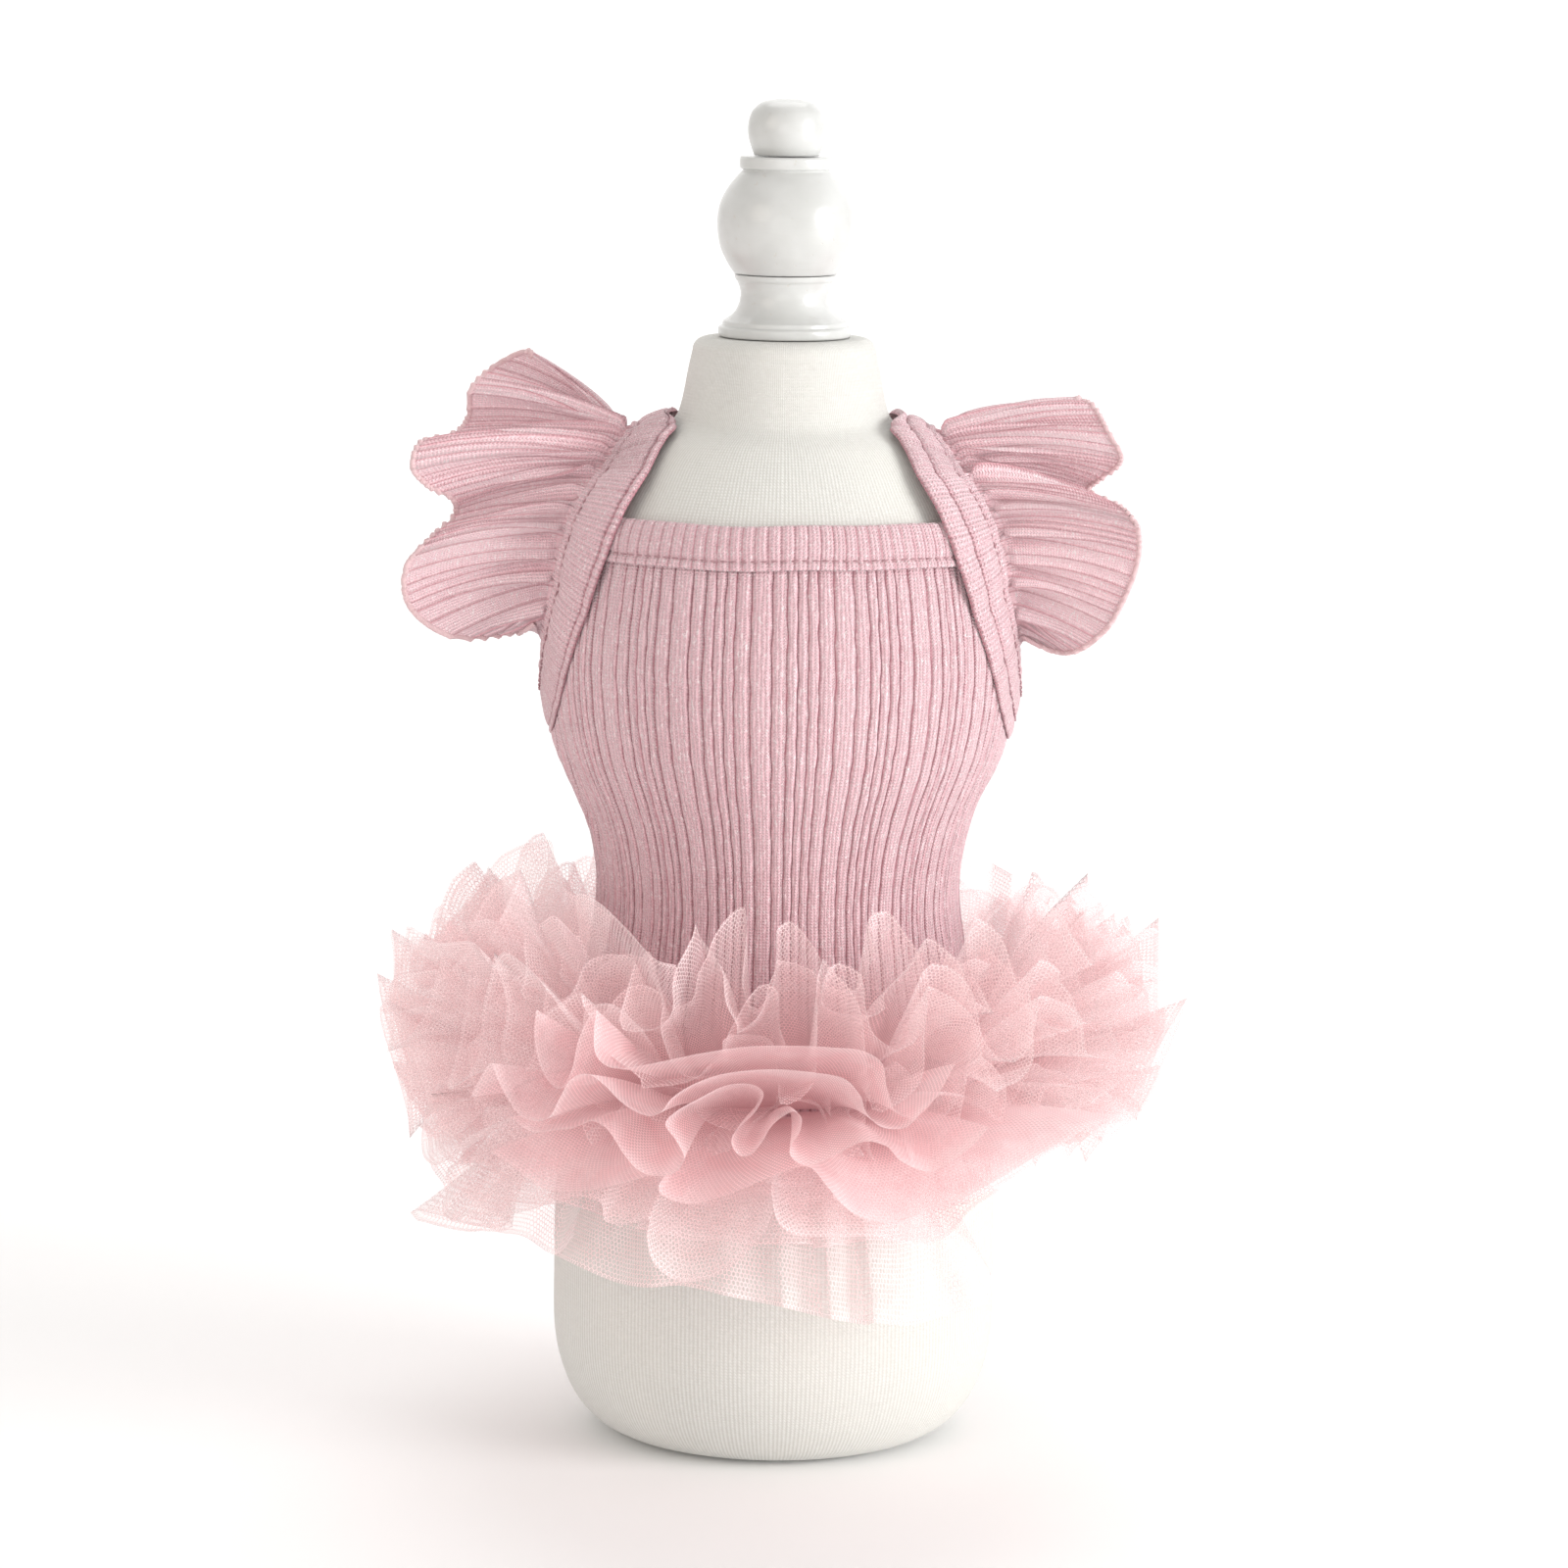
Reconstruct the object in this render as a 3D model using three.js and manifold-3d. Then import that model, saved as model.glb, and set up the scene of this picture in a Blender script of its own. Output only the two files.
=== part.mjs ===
// A small dog's tutu dress on a padded, limbless dress form. A ribbed-knit bodice is bound at the neck
// and hangs from two bands, each running round an armhole and over the shoulder with a flounce on it.
// The skirt is six tiers of gathered tulle that fan out round one seam. The form stands on its flat base.
// Millimetres, +Z up, the front faces -Y, and the origin is the centre of the base.
import * as THREE from "three";
import { mergeVertices } from "three/addons/utils/BufferGeometryUtils.js";
import Module from "manifold-3d";

const wasm = await Module();
wasm.setup();

// ---- Driving dimensions ----
const SEAM_GAP = 0.3; // between pieces that touch
const CLOTH_CLEARANCE = 0.4; // between the form and the cloth over it
const NECK_TOP = 294.6;
const FORM_COLUMNS = 36;
const SIDE_SEAM = 90; // degrees from the front, where front and back meet

const BODICE = { hem: 92, top: 248.5, wall: 1.0, ribHeight: 0.5, sideGap: 0.2, ribsFromSide: 0.8 };
const RIB_REPEATS = 14; // round the whole body
const RIB_START = -7.0; // degrees, the left groove of the wide rib beside the centre front
const BINDING = { low: 238.8, high: 249.3, wall: 1.0, ribHeight: 0.35, ribs: 34, end: 54 };
const BAND = { wall: 1.3, puff: 0.5, columns: 46 };
const ARMHOLE_BAR = { near: 20, far: 90, steps: 32 }; // trims the panels under the bands
const FLOUNCE = {
  wall: 1.0,
  ribHeight: 0.45,
  ribs: 44,
  startZ: 215,
  pastBand: 2,
  bow: 0.05, // how far a rib bows up on its way to the hem, as a share of its length
};
const TULLE = {
  wall: 1.0,
  pointsPerWave: 5,
  seamZ: 100,
  centreInside: 3.5,
  crestSpread: 1.1, // crests and hollows spread, so that the folds between them stand steep
  crestShift: 0.26, // of a wave, either way
  swingLoss: 0.14, // of a wave's swing
  reachChange: 0.05, // of the reach, either way
  sway: 2, // degrees that a whole tier dips and lifts
};

// ---- The form's sections, from the base to the top of the neck ----
const FORM_SECTIONS = [
  { z: 0, halfWidth: 38, halfDepth: 31.5 },
  { z: 1.6, halfWidth: 44, halfDepth: 37.3 },
  { z: 6, halfWidth: 50.4, halfDepth: 43.2 },
  { z: 14, halfWidth: 55.6, halfDepth: 48.4 },
  { z: 26, halfWidth: 58.8, halfDepth: 52 },
  { z: 44, halfWidth: 59.2, halfDepth: 52.6 },
  { z: 68, halfWidth: 58.7, halfDepth: 52.3 },
  { z: 92, halfWidth: 56.4, halfDepth: 51 },
  { z: 114, halfWidth: 52.2, halfDepth: 48.2 },
  { z: 135, halfWidth: 47.9, halfDepth: 45.2 },
  { z: 152, halfWidth: 46.4, halfDepth: 44.2 },
  { z: 170, halfWidth: 49.8, halfDepth: 46.4 },
  { z: 190, halfWidth: 58, halfDepth: 51.8 },
  { z: 211, halfWidth: 61, halfDepth: 53.8 },
  { z: 232, halfWidth: 58.6, halfDepth: 51 },
  { z: 248.5, halfWidth: 54.3, halfDepth: 45 },
  { z: 260, halfWidth: 46.8, halfDepth: 38 },
  { z: 265, halfWidth: 42.6, halfDepth: 34.2 },
  { z: 268.5, halfWidth: 38, halfDepth: 31.4 },
  { z: 271, halfWidth: 32.4, halfDepth: 28.8 },
  { z: 273, halfWidth: 28.8, halfDepth: 27.2 },
  { z: 277, halfWidth: 26.9, halfDepth: 26 },
  { z: 286.5, halfWidth: 25, halfDepth: 24.4 },
  { z: 292.8, halfWidth: 23.6, halfDepth: 23.3 },
  { z: NECK_TOP, halfWidth: 21.4, halfDepth: 21.4 },
];

// One repeat of the rib knit: where each groove lies, as a share of the repeat, and the crests after it.
const RIB_REPEAT = [
  { groove: 0.0, crests: [0.06, 0.19] },
  { groove: 0.25, crests: [0.34] },
  { groove: 0.43, crests: [0.49] },
  { groove: 0.555, crests: [0.617] },
  { groove: 0.68, crests: [0.742] },
  { groove: 0.805, crests: [0.9] },
];

// The middle of the band from the underarm to the top of the shoulder, on the front half. turn is in
// degrees from the front, and the back half is its mirror image about the side seam.
const BAND_LINE = [
  { turn: 90, z: 197, width: 14 },
  { turn: 81, z: 199.5, width: 15 },
  { turn: 73, z: 206, width: 16 },
  { turn: 67, z: 216, width: 17 },
  { turn: 60.5, z: 232, width: 18 },
  { turn: 56, z: 247, width: 18 },
  { turn: 56.5, z: 260, width: 17 },
  { turn: 60, z: 265.5, width: 15 },
  { turn: 69, z: 269.4, width: 13 },
  { turn: 90, z: 270.8, width: 12 },
];

// The free edge of each flounce, a row for each crest or hollow. along runs over the seam from the front
// underarm to the back one; out, rise and forward are from the seam to the edge.
const FLOUNCE_FOLDS = {
  left: [
    { along: 0.00, out: 1, rise: 4, forward: 3 },
    { along: 0.03, out: 9, rise: -4, forward: -5 },
    { along: 0.065, out: 24, rise: -9, forward: 7 },
    { along: 0.10, out: 36, rise: -8, forward: 10 },
    { along: 0.14, out: 38, rise: -5, forward: 11 },
    { along: 0.18, out: 34, rise: -4, forward: 4 },
    { along: 0.22, out: 33, rise: -7, forward: -8 },
    { along: 0.26, out: 37, rise: -8, forward: -2 },
    { along: 0.30, out: 44, rise: -6, forward: 9 },
    { along: 0.34, out: 49, rise: -2, forward: 14 },
    { along: 0.38, out: 49, rise: 2, forward: 8 },
    { along: 0.42, out: 44, rise: 0, forward: -8 },
    { along: 0.46, out: 42, rise: 3, forward: -14 },
    { along: 0.49, out: 41, rise: 10, forward: -7 },
    { along: 0.52, out: 36, rise: 15, forward: -12 },
    { along: 0.56, out: 25, rise: 20, forward: -4 },
    { along: 0.63, out: 27, rise: 15, forward: -22 },
    { along: 0.70, out: 31, rise: 15, forward: -8 },
    { along: 0.77, out: 29, rise: 12, forward: -22 },
    { along: 0.84, out: 29, rise: 11, forward: -6 },
    { along: 0.91, out: 19, rise: 5, forward: -18 },
    { along: 0.96, out: 7, rise: 3, forward: -6 },
    { along: 1.00, out: 0, rise: 2, forward: -3 },
  ],
  right: [
    { along: 0.00, out: 0, rise: 2, forward: 3 },
    { along: 0.04, out: 13, rise: -7, forward: 5 },
    { along: 0.08, out: 24, rise: -7, forward: 9 },
    { along: 0.12, out: 31, rise: -6, forward: 3 },
    { along: 0.16, out: 35, rise: -4, forward: 4 },
    { along: 0.20, out: 36, rise: -2, forward: 11 },
    { along: 0.25, out: 37, rise: -5, forward: 6 },
    { along: 0.29, out: 33, rise: -6, forward: -9 },
    { along: 0.33, out: 37, rise: -5, forward: -7 },
    { along: 0.38, out: 43, rise: -1, forward: 5 },
    { along: 0.43, out: 42, rise: 4, forward: 3 },
    { along: 0.48, out: 40, rise: 8, forward: -6 },
    { along: 0.52, out: 37, rise: 8, forward: -14 },
    { along: 0.57, out: 36, rise: 7, forward: -4 },
    { along: 0.63, out: 32, rise: 4, forward: -20 },
    { along: 0.70, out: 33, rise: 3, forward: -6 },
    { along: 0.77, out: 31, rise: -6, forward: -22 },
    { along: 0.84, out: 26, rise: -4, forward: -6 },
    { along: 0.91, out: 16, rise: -7, forward: -18 },
    { along: 0.96, out: 7, rise: -2, forward: -6 },
    { along: 1.00, out: 0, rise: 1, forward: -3 },
  ],
};
const FLOUNCE_ROWS = [0, 0.3, 0.65, 1];

// The tulle tiers from the top one down. fan is the angle above the level, in degrees, and reach is the
// length from the seam, both at every 45 degrees from the front round by +X. Waves swing a tier to each
// side by degrees, and turn is where the first wave lies.
const TIERS = [
  {
    name: "tulle_tier_1",
    fan: [61, 58, 54, 49, 46, 51, 58, 60],
    reach: [58, 58, 57, 57, 56, 57, 58, 58],
    waves: 21,
    swing: 10,
    turn: 4,
  },
  {
    name: "tulle_tier_2",
    fan: [37, 35, 33, 28, 25, 30, 36, 37],
    reach: [55, 57, 57, 56, 56, 56, 56, 56],
    waves: 20,
    swing: 10,
    turn: 13,
  },
  {
    name: "tulle_tier_3",
    fan: [13, 12, 11, 7, 4, 8, 13, 14],
    reach: [54, 54, 53, 53, 53, 53, 52, 53],
    waves: 19,
    swing: 10,
    turn: 2,
  },
  {
    name: "tulle_tier_4",
    fan: [-10, -11, -10, -14, -17, -14, -9, -9],
    reach: [49, 49, 48, 49, 50, 50, 49, 49],
    waves: 19,
    swing: 10,
    turn: 9,
  },
  {
    name: "tulle_tier_5",
    fan: [-31, -33, -32, -35, -38, -34, -31, -30],
    reach: [48, 43, 34, 40, 48, 51, 52, 49],
    waves: 17,
    swing: 10,
    turn: 17,
  },
  {
    name: "tulle_tier_6",
    fan: [-56, -65, -60, -58, -60, -55, -51, -53],
    reach: [56, 48, 30, 40, 53, 54, 57, 52],
    waves: 15,
    swing: 9.5,
    turn: 6,
  },
];
const TULLE_ROWS = [
  { share: 0.0, swing: 0.35, lift: 2 },
  { share: 0.4, swing: 0.7, lift: 2 },
  { share: 1.0, swing: 1.0, lift: -2 },
];

// Turned wooden finial: radius at each height above the top of the neck.
const FINIAL_FOOT = [
  { z: 0.3, r: 16.9 },
  { z: 2.6, r: 17.3 },
  { z: 3.1, r: 16.3 },
  { z: 4.2, r: 16.1 },
  { z: 6.4, r: 13.2 },
  { z: 9, r: 11.9 },
  { z: 11.8, r: 11.6 },
  { z: 14.9, r: 12.6 },
  { z: 16.3, r: 13.3 },
];
const FINIAL_BALL = [
  { z: 16.6, r: 13.4 },
  { z: 19.4, r: 15.2 },
  { z: 23, r: 16.9 },
  { z: 27, r: 17.7 },
  { z: 31, r: 17.8 },
  { z: 35, r: 17 },
  { z: 39, r: 14.9 },
  { z: 42.2, r: 12.3 },
  { z: 43.2, r: 11.3 },
  { z: 43.7, r: 11.9 },
  { z: 46.7, r: 12 },
];
const FINIAL_KNOB = [
  { z: 47, r: 8.4 },
  { z: 49, r: 9.2 },
  { z: 52, r: 10 },
  { z: 55.5, r: 10 },
  { z: 58.5, r: 8.9 },
  { z: 60.6, r: 6.4 },
  { z: 61.4, r: 2.8 },
];
const LATHE_SEGMENTS = 24;

const PAINT = { color: 0xece9e2, roughness: 0.35, metalness: 0 };
const FORM_CLOTH = { color: 0xe9e6dc, roughness: 0.95, metalness: 0 };
const KNIT = { color: 0xdcaab0, roughness: 0.95, metalness: 0 };
const NET = { color: 0xe3b1b1, roughness: 0.8, metalness: 0 };

// ---- Small helpers ----
const radians = THREE.MathUtils.degToRad;
const lerp = THREE.MathUtils.lerp;

// A smooth curve through a table's rows: the value of one column at a place along another.
function columnAt(rows, key, column, x) {
  const last = rows.length - 1;
  let i = 0;
  while (i < last - 1 && rows[i + 1][key] < x) i += 1;
  const slope = (k) => {
    const [a, b] = [rows[Math.max(k - 1, 0)], rows[Math.min(k + 1, last)]];
    return (b[column] - a[column]) / (b[key] - a[key]);
  };
  const [p, q] = [rows[i], rows[i + 1]];
  const span = q[key] - p[key];
  const t = THREE.MathUtils.clamp((x - p[key]) / span, 0, 1);
  return (
    p[column] * (1 + 2 * t) * (1 - t) ** 2 +
    slope(i) * span * t * (1 - t) ** 2 +
    q[column] * t * t * (3 - 2 * t) +
    slope(i + 1) * span * t * t * (t - 1)
  );
}

// A repeatable number from -1 to 1 for a fold, so that no two folds are alike.
function uneven(...seeds) {
  const mixed = seeds.reduce((sum, s, i) => sum + s * (12.9898 + 65.233 * i), 4.137);
  const share = Math.sin(mixed) * 43758.5453;
  return 2 * (share - Math.floor(share)) - 1;
}

// A point over the form: turn in degrees from the front towards +X, at a height, standing off the form.
function overForm(turn, z, off) {
  const a = columnAt(FORM_SECTIONS, "z", "halfWidth", z);
  const b = columnAt(FORM_SECTIONS, "z", "halfDepth", z);
  const point = new THREE.Vector3(a * Math.sin(radians(turn)), -b * Math.cos(radians(turn)), z);
  if (!off) return point;
  return point.addScaledVector(formNormal(turn, z), off);
}

function formNormal(turn, z) {
  const [dTurn, dZ] = [0.5, 0.25];
  const zLow = Math.max(z - dZ, 0);
  const zHigh = Math.min(z + dZ, NECK_TOP);
  const round = overForm(turn + dTurn, z, 0).sub(overForm(turn - dTurn, z, 0));
  const up = overForm(turn, zHigh, 0).sub(overForm(turn, zLow, 0));
  return round.cross(up).normalize();
}

// ---- Closed walls ----
// A closed wall from an outer and an inner grid of points, grid[row][column]. The two may have different
// numbers of columns, placed by their params from 0 to 1, and then the rims are zipped between them.
function wallGeometry(outer, inner, { closed = false, outerParams = null, innerParams = null } = {}) {
  const positions = [];
  const index = [];
  const rows = outer.length;
  const add = (grid) =>
    grid.map((row) =>
      row.map((p) => {
        positions.push(p.x, p.y, p.z);
        return positions.length / 3 - 1;
      }),
    );
  const [out, inn] = [add(outer), add(inner)];
  const wrap = (row, i) => row[i % row.length];
  const spans = (row) => row.length - (closed ? 0 : 1);
  const skin = (grid, flipped) => {
    for (let j = 0; j < rows - 1; j += 1)
      for (let i = 0; i < spans(grid[j]); i += 1) {
        const [a, b] = [wrap(grid[j], i), wrap(grid[j], i + 1)];
        const [d, c] = [wrap(grid[j + 1], i), wrap(grid[j + 1], i + 1)];
        if (flipped) index.push(a, c, b, a, d, c);
        else index.push(a, b, c, a, c, d);
      }
  };
  skin(out, false);
  skin(inn, true);
  const even = (row) => Array.from({ length: spans(row) + 1 }, (_, i) => i / spans(row));
  const rim = (j, atEnd) => {
    const [o, n] = [out[j], inn[j]];
    const [po, pn] = [outerParams ?? even(o), innerParams ?? even(n)];
    let [i, k] = [0, 0];
    while (i < spans(o) || k < spans(n)) {
      const outerNext = i < spans(o) && (k >= spans(n) || po[i + 1] <= pn[k + 1] + 1e-9);
      const tri = outerNext
        ? [wrap(o, i + 1), wrap(o, i), wrap(n, k)]
        : [wrap(o, i), wrap(n, k), wrap(n, k + 1)];
      index.push(...(atEnd ? [tri[1], tri[0], tri[2]] : tri));
      if (outerNext) i += 1;
      else k += 1;
    }
  };
  rim(0, false);
  rim(rows - 1, true);
  if (!closed)
    for (let j = 0; j < rows - 1; j += 1) {
      const [o0, o1] = [out[j][0], out[j + 1][0]];
      const [n0, n1] = [inn[j][0], inn[j + 1][0]];
      index.push(o0, o1, n1, o0, n1, n0);
      const [p0, p1] = [out[j].at(-1), out[j + 1].at(-1)];
      const [m0, m1] = [inn[j].at(-1), inn[j + 1].at(-1)];
      index.push(p1, p0, m0, p1, m0, m1);
    }
  return facingOut(positions, index);
}

function facingOut(positions, index) {
  const at = (i) => new THREE.Vector3(...positions.slice(3 * i, 3 * i + 3));
  let volume = 0;
  for (let i = 0; i < index.length; i += 3)
    volume += at(index[i]).dot(at(index[i + 1]).cross(at(index[i + 2])));
  if (volume < 0) index.reverse();
  const geometry = new THREE.BufferGeometry();
  geometry.setAttribute("position", new THREE.Float32BufferAttribute(positions, 3));
  geometry.setIndex(index);
  return geometry;
}

// A sheet's grid of points moved along the sheet's own normals. How far may differ from point to point.
function movedOut(grid, distance, closed) {
  const last = grid.length - 1;
  return grid.map((row, j) =>
    row.map((point, i) => {
      const n = row.length;
      const before = closed ? row[(i + n - 1) % n] : row[Math.max(i - 1, 0)];
      const after = closed ? row[(i + 1) % n] : row[Math.min(i + 1, n - 1)];
      const down = grid[Math.max(j - 1, 0)][i];
      const up = grid[Math.min(j + 1, last)][i];
      const rise = up.clone().sub(down);
      const normal = (a, b) => b.clone().sub(a).cross(rise).normalize();
      const [left, right] = [normal(before, point), normal(point, after)];
      if (left.lengthSq() < 0.5) left.copy(right);
      if (right.lengthSq() < 0.5) right.copy(left);
      const middle = left.clone().add(right).normalize();
      const miter = Math.min(1 / Math.max(middle.dot(right), 0.3), 1.8);
      return point.clone().addScaledVector(middle, distance(j, i) * miter);
    }),
  );
}

function solidFrom(geometry) {
  const bare = geometry.index ? geometry.toNonIndexed() : geometry.clone();
  bare.deleteAttribute("normal");
  bare.deleteAttribute("uv");
  const merged = mergeVertices(bare, 1e-4);
  return new wasm.Manifold(
    new wasm.Mesh({
      numProp: 3,
      vertProperties: new Float32Array(merged.attributes.position.array),
      triVerts: new Uint32Array(merged.index.array),
    }),
  );
}

function geometryFrom(solid) {
  const mesh = solid.getMesh();
  const geometry = new THREE.BufferGeometry();
  geometry.setAttribute("position", new THREE.Float32BufferAttribute(mesh.vertProperties, 3));
  geometry.setIndex(Array.from(mesh.triVerts));
  return geometry;
}

// ---- The dress form ----
function formGeometry() {
  const positions = [];
  const index = [];
  FORM_SECTIONS.forEach(({ z }) => {
    for (let i = 0; i < FORM_COLUMNS; i += 1) {
      const p = overForm((360 / FORM_COLUMNS) * i, z, 0);
      positions.push(p.x, p.y, p.z);
    }
  });
  const at = (j, i) => j * FORM_COLUMNS + (i % FORM_COLUMNS);
  for (let j = 0; j < FORM_SECTIONS.length - 1; j += 1)
    for (let i = 0; i < FORM_COLUMNS; i += 1)
      index.push(at(j, i), at(j, i + 1), at(j + 1, i + 1), at(j, i), at(j + 1, i + 1), at(j + 1, i));
  const cap = (j, z) => {
    positions.push(0, 0, z);
    const centre = positions.length / 3 - 1;
    for (let i = 0; i < FORM_COLUMNS; i += 1)
      index.push(...(j ? [centre, at(j, i), at(j, i + 1)] : [centre, at(j, i + 1), at(j, i)]));
  };
  cap(0, 0);
  cap(FORM_SECTIONS.length - 1, NECK_TOP);
  return facingOut(positions, index);
}

function turnedGeometry(profile) {
  const points = [
    new THREE.Vector2(0, profile[0].z),
    ...profile.map(({ r, z }) => new THREE.Vector2(r, z)),
    new THREE.Vector2(0, profile.at(-1).z),
  ];
  return new THREE.LatheGeometry(points, LATHE_SEGMENTS)
    .rotateX(Math.PI / 2)
    .translate(0, 0, NECK_TOP);
}

// ---- The bodice ----
const bodiceHeights = FORM_SECTIONS.map(({ z }) => z).filter((z) => z >= BODICE.hem && z <= BODICE.top);
const knitInside = CLOTH_CLEARANCE;
const knitGroove = knitInside + BODICE.wall;
const knitCrest = knitGroove + BODICE.ribHeight;

// Every groove and crest of the rib knit round the body, in degrees.
function ribTurns() {
  const pitch = 360 / RIB_REPEATS;
  const turns = [];
  for (let k = 0; k < RIB_REPEATS; k += 1)
    RIB_REPEAT.forEach(({ groove, crests }) => {
      turns.push({ turn: RIB_START + pitch * (k + groove), off: knitGroove });
      crests.forEach((c) => turns.push({ turn: RIB_START + pitch * (k + c), off: knitCrest }));
    });
  return turns;
}

function bodicePanel(middle) {
  const half = SIDE_SEAM - BODICE.sideGap;
  const edge = { off: knitGroove + BODICE.ribHeight / 2 };
  const turns = ribTurns()
    .map(({ turn, off }) => ({ turn: ((((turn - middle + 180) % 360) + 360) % 360) - 180, off }))
    .filter(({ turn }) => Math.abs(turn) < SIDE_SEAM - BODICE.ribsFromSide)
    .sort((a, b) => a.turn - b.turn);
  const outerColumns = [{ turn: -half, ...edge }, ...turns, { turn: half, ...edge }];
  const innerColumns = [];
  for (let turn = -SIDE_SEAM; turn <= SIDE_SEAM; turn += 360 / FORM_COLUMNS)
    innerColumns.push(THREE.MathUtils.clamp(turn, -half, half));
  const share = (turn) => (turn + half) / (2 * half);
  const outer = bodiceHeights.map((z) =>
    outerColumns.map(({ turn, off }) => overForm(middle + turn, z, off)),
  );
  const inner = bodiceHeights.map((z) =>
    innerColumns.map((turn) => overForm(middle + turn, z, knitInside)),
  );
  const panel = solidFrom(
    wallGeometry(outer, inner, {
      outerParams: outerColumns.map(({ turn }) => share(turn)),
      innerParams: innerColumns.map(share),
    }),
  );
  return geometryFrom(panel.subtract(armholeCutter(1)).subtract(armholeCutter(-1)));
}

// The binding along the neckline, from armhole band to armhole band.
function neckBinding(middle) {
  const inside = knitCrest + SEAM_GAP;
  const steps = BINDING.ribs * 2;
  const turnAt = (share) => middle + lerp(-BINDING.end, BINDING.end, share);
  const heights = [BINDING.low, BINDING.high];
  const outer = heights.map((z) =>
    Array.from({ length: steps + 1 }, (_, i) =>
      overForm(turnAt(i / steps), z, inside + BINDING.wall + (i % 2) * BINDING.ribHeight),
    ),
  );
  const inner = heights.map((z) =>
    Array.from({ length: BINDING.ribs / 2 + 1 }, (_, i) =>
      overForm(turnAt(i / (BINDING.ribs / 2)), z, inside),
    ),
  );
  return wallGeometry(outer, inner);
}

// ---- The armhole bands ----
// The middle of a band as a closed curve of (turn, z), starting at the underarm. side is 1 for +X.
const bandCurve = new THREE.CatmullRomCurve3(
  [
    ...BAND_LINE,
    ...BAND_LINE.slice(1, -1)
      .reverse()
      .map(({ turn, z, width }) => ({ turn: 180 - turn, z, width })),
  ].map(({ turn, z, width }) => new THREE.Vector3(turn, z, width)),
  true,
  "centripetal",
);

// A point on a band: t is once round its curve, share runs over its width with 0.5 at the armhole edge,
// and beyond is a distance past that edge.
function bandPoint(t, share, off, beyond = 0) {
  const turned = (shift) => bandCurve.getPoint((((t + shift) % 1) + 1) % 1);
  const middle = turned(0);
  const across = share * middle.z + beyond;
  const on = (uv) => overForm(uv.x, uv.y, 0);
  const tangent = on(turned(0.004)).sub(on(turned(-0.004))).normalize();
  const normal = formNormal(middle.x, middle.y);
  const inward = tangent.clone().cross(normal).normalize();
  const [dTurn, dZ] = [1, 0.5];
  const round = overForm(middle.x + dTurn, middle.y, 0).sub(overForm(middle.x - dTurn, middle.y, 0));
  const up = overForm(middle.x, middle.y + dZ, 0).sub(overForm(middle.x, middle.y - dZ, 0));
  const turn = middle.x + (across * inward.dot(round) * 2 * dTurn) / round.lengthSq();
  const z = middle.y + (across * inward.dot(up) * 2 * dZ) / up.lengthSq();
  return overForm(turn, z, off);
}

// How far the band's underside stands off the form: over the panel, higher over the binding, and down
// on the form itself at the shoulder.
const BAND_LIFT = [
  { z: 186, off: 2.6 },
  { z: 228, off: 2.7 },
  { z: 239, off: 3.9 },
  { z: 252, off: 3.9 },
  { z: 264, off: 2 },
  { z: 275, off: 1.4 },
];
const bandOff = (t) => columnAt(BAND_LIFT, "z", "off", bandCurve.getPoint(t).y);

function mirrored(point, side) {
  return new THREE.Vector3(side * point.x, point.y, point.z);
}

const BAND_SECTION = [
  { across: -0.5, puff: 0 },
  { across: 0, puff: 1 },
  { across: 0.5, puff: 0 },
];

function bandGeometry(side) {
  const ring = (height) =>
    BAND_SECTION.map(({ across, puff }) =>
      Array.from({ length: BAND.columns }, (_, i) => {
        const t = i / BAND.columns;
        const off = bandOff(t) + height * (BAND.wall + puff * BAND.puff);
        return mirrored(bandPoint(t, across, off), side);
      }),
    );
  return wallGeometry(ring(1), ring(0), { closed: true });
}

// A bar through the armhole, as wide as the middle line of the band.
function armholeCutter(side) {
  const { near, far, steps } = ARMHOLE_BAR;
  const outline = new THREE.Shape();
  for (let i = 0; i < steps; i += 1) {
    const p = bandPoint(i / steps, 0, 0);
    if (i) outline.lineTo(p.y, p.z);
    else outline.moveTo(p.y, p.z);
  }
  const bar = new THREE.ExtrudeGeometry(outline, { depth: far - near, bevelEnabled: false, steps: 1 });
  const axes = new THREE.Matrix4().makeBasis(
    new THREE.Vector3(0, 1, 0),
    new THREE.Vector3(0, 0, 1),
    new THREE.Vector3(1, 0, 0),
  );
  bar.applyMatrix4(axes).translate(side > 0 ? near : -far, 0, 0);
  return solidFrom(bar);
}

// ---- The flounces ----
const flounceSpan = (() => {
  const t = Array.from({ length: 401 }, (_, i) => i / 800);
  const start = t.find((s) => bandPoint(s, 0.5, 0).z > FLOUNCE.startZ);
  return [start, 1 - start];
})();

function flouncePoint(folds, side, along, down) {
  const t = lerp(...flounceSpan, along);
  const root = bandPoint(t, 0.5, bandOff(t) + BAND.wall, FLOUNCE.pastBand);
  const edge = new THREE.Vector3(
    columnAt(folds, "along", "out", along),
    -columnAt(folds, "along", "forward", along),
    columnAt(folds, "along", "rise", along),
  );
  const bow = new THREE.Vector3(0, 0, FLOUNCE.bow * edge.length() * 4 * down * (1 - down));
  return mirrored(root.addScaledVector(edge, down).add(bow), side);
}

function flounceGeometry(name, side) {
  const folds = FLOUNCE_FOLDS[name];
  const sheet = (columns) =>
    FLOUNCE_ROWS.map((down) =>
      Array.from({ length: columns + 1 }, (_, i) => flouncePoint(folds, side, i / columns, down)),
    );
  const [fine, plain] = [sheet(FLOUNCE.ribs * 2), sheet(FLOUNCE.ribs)];
  const halfWall = (FLOUNCE.wall / 2) * side;
  const outer = movedOut(fine, (j, i) => halfWall + side * (i % 2) * FLOUNCE.ribHeight, false);
  const inner = movedOut(plain, () => -halfWall, false);
  return wallGeometry(outer, inner);
}

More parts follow.
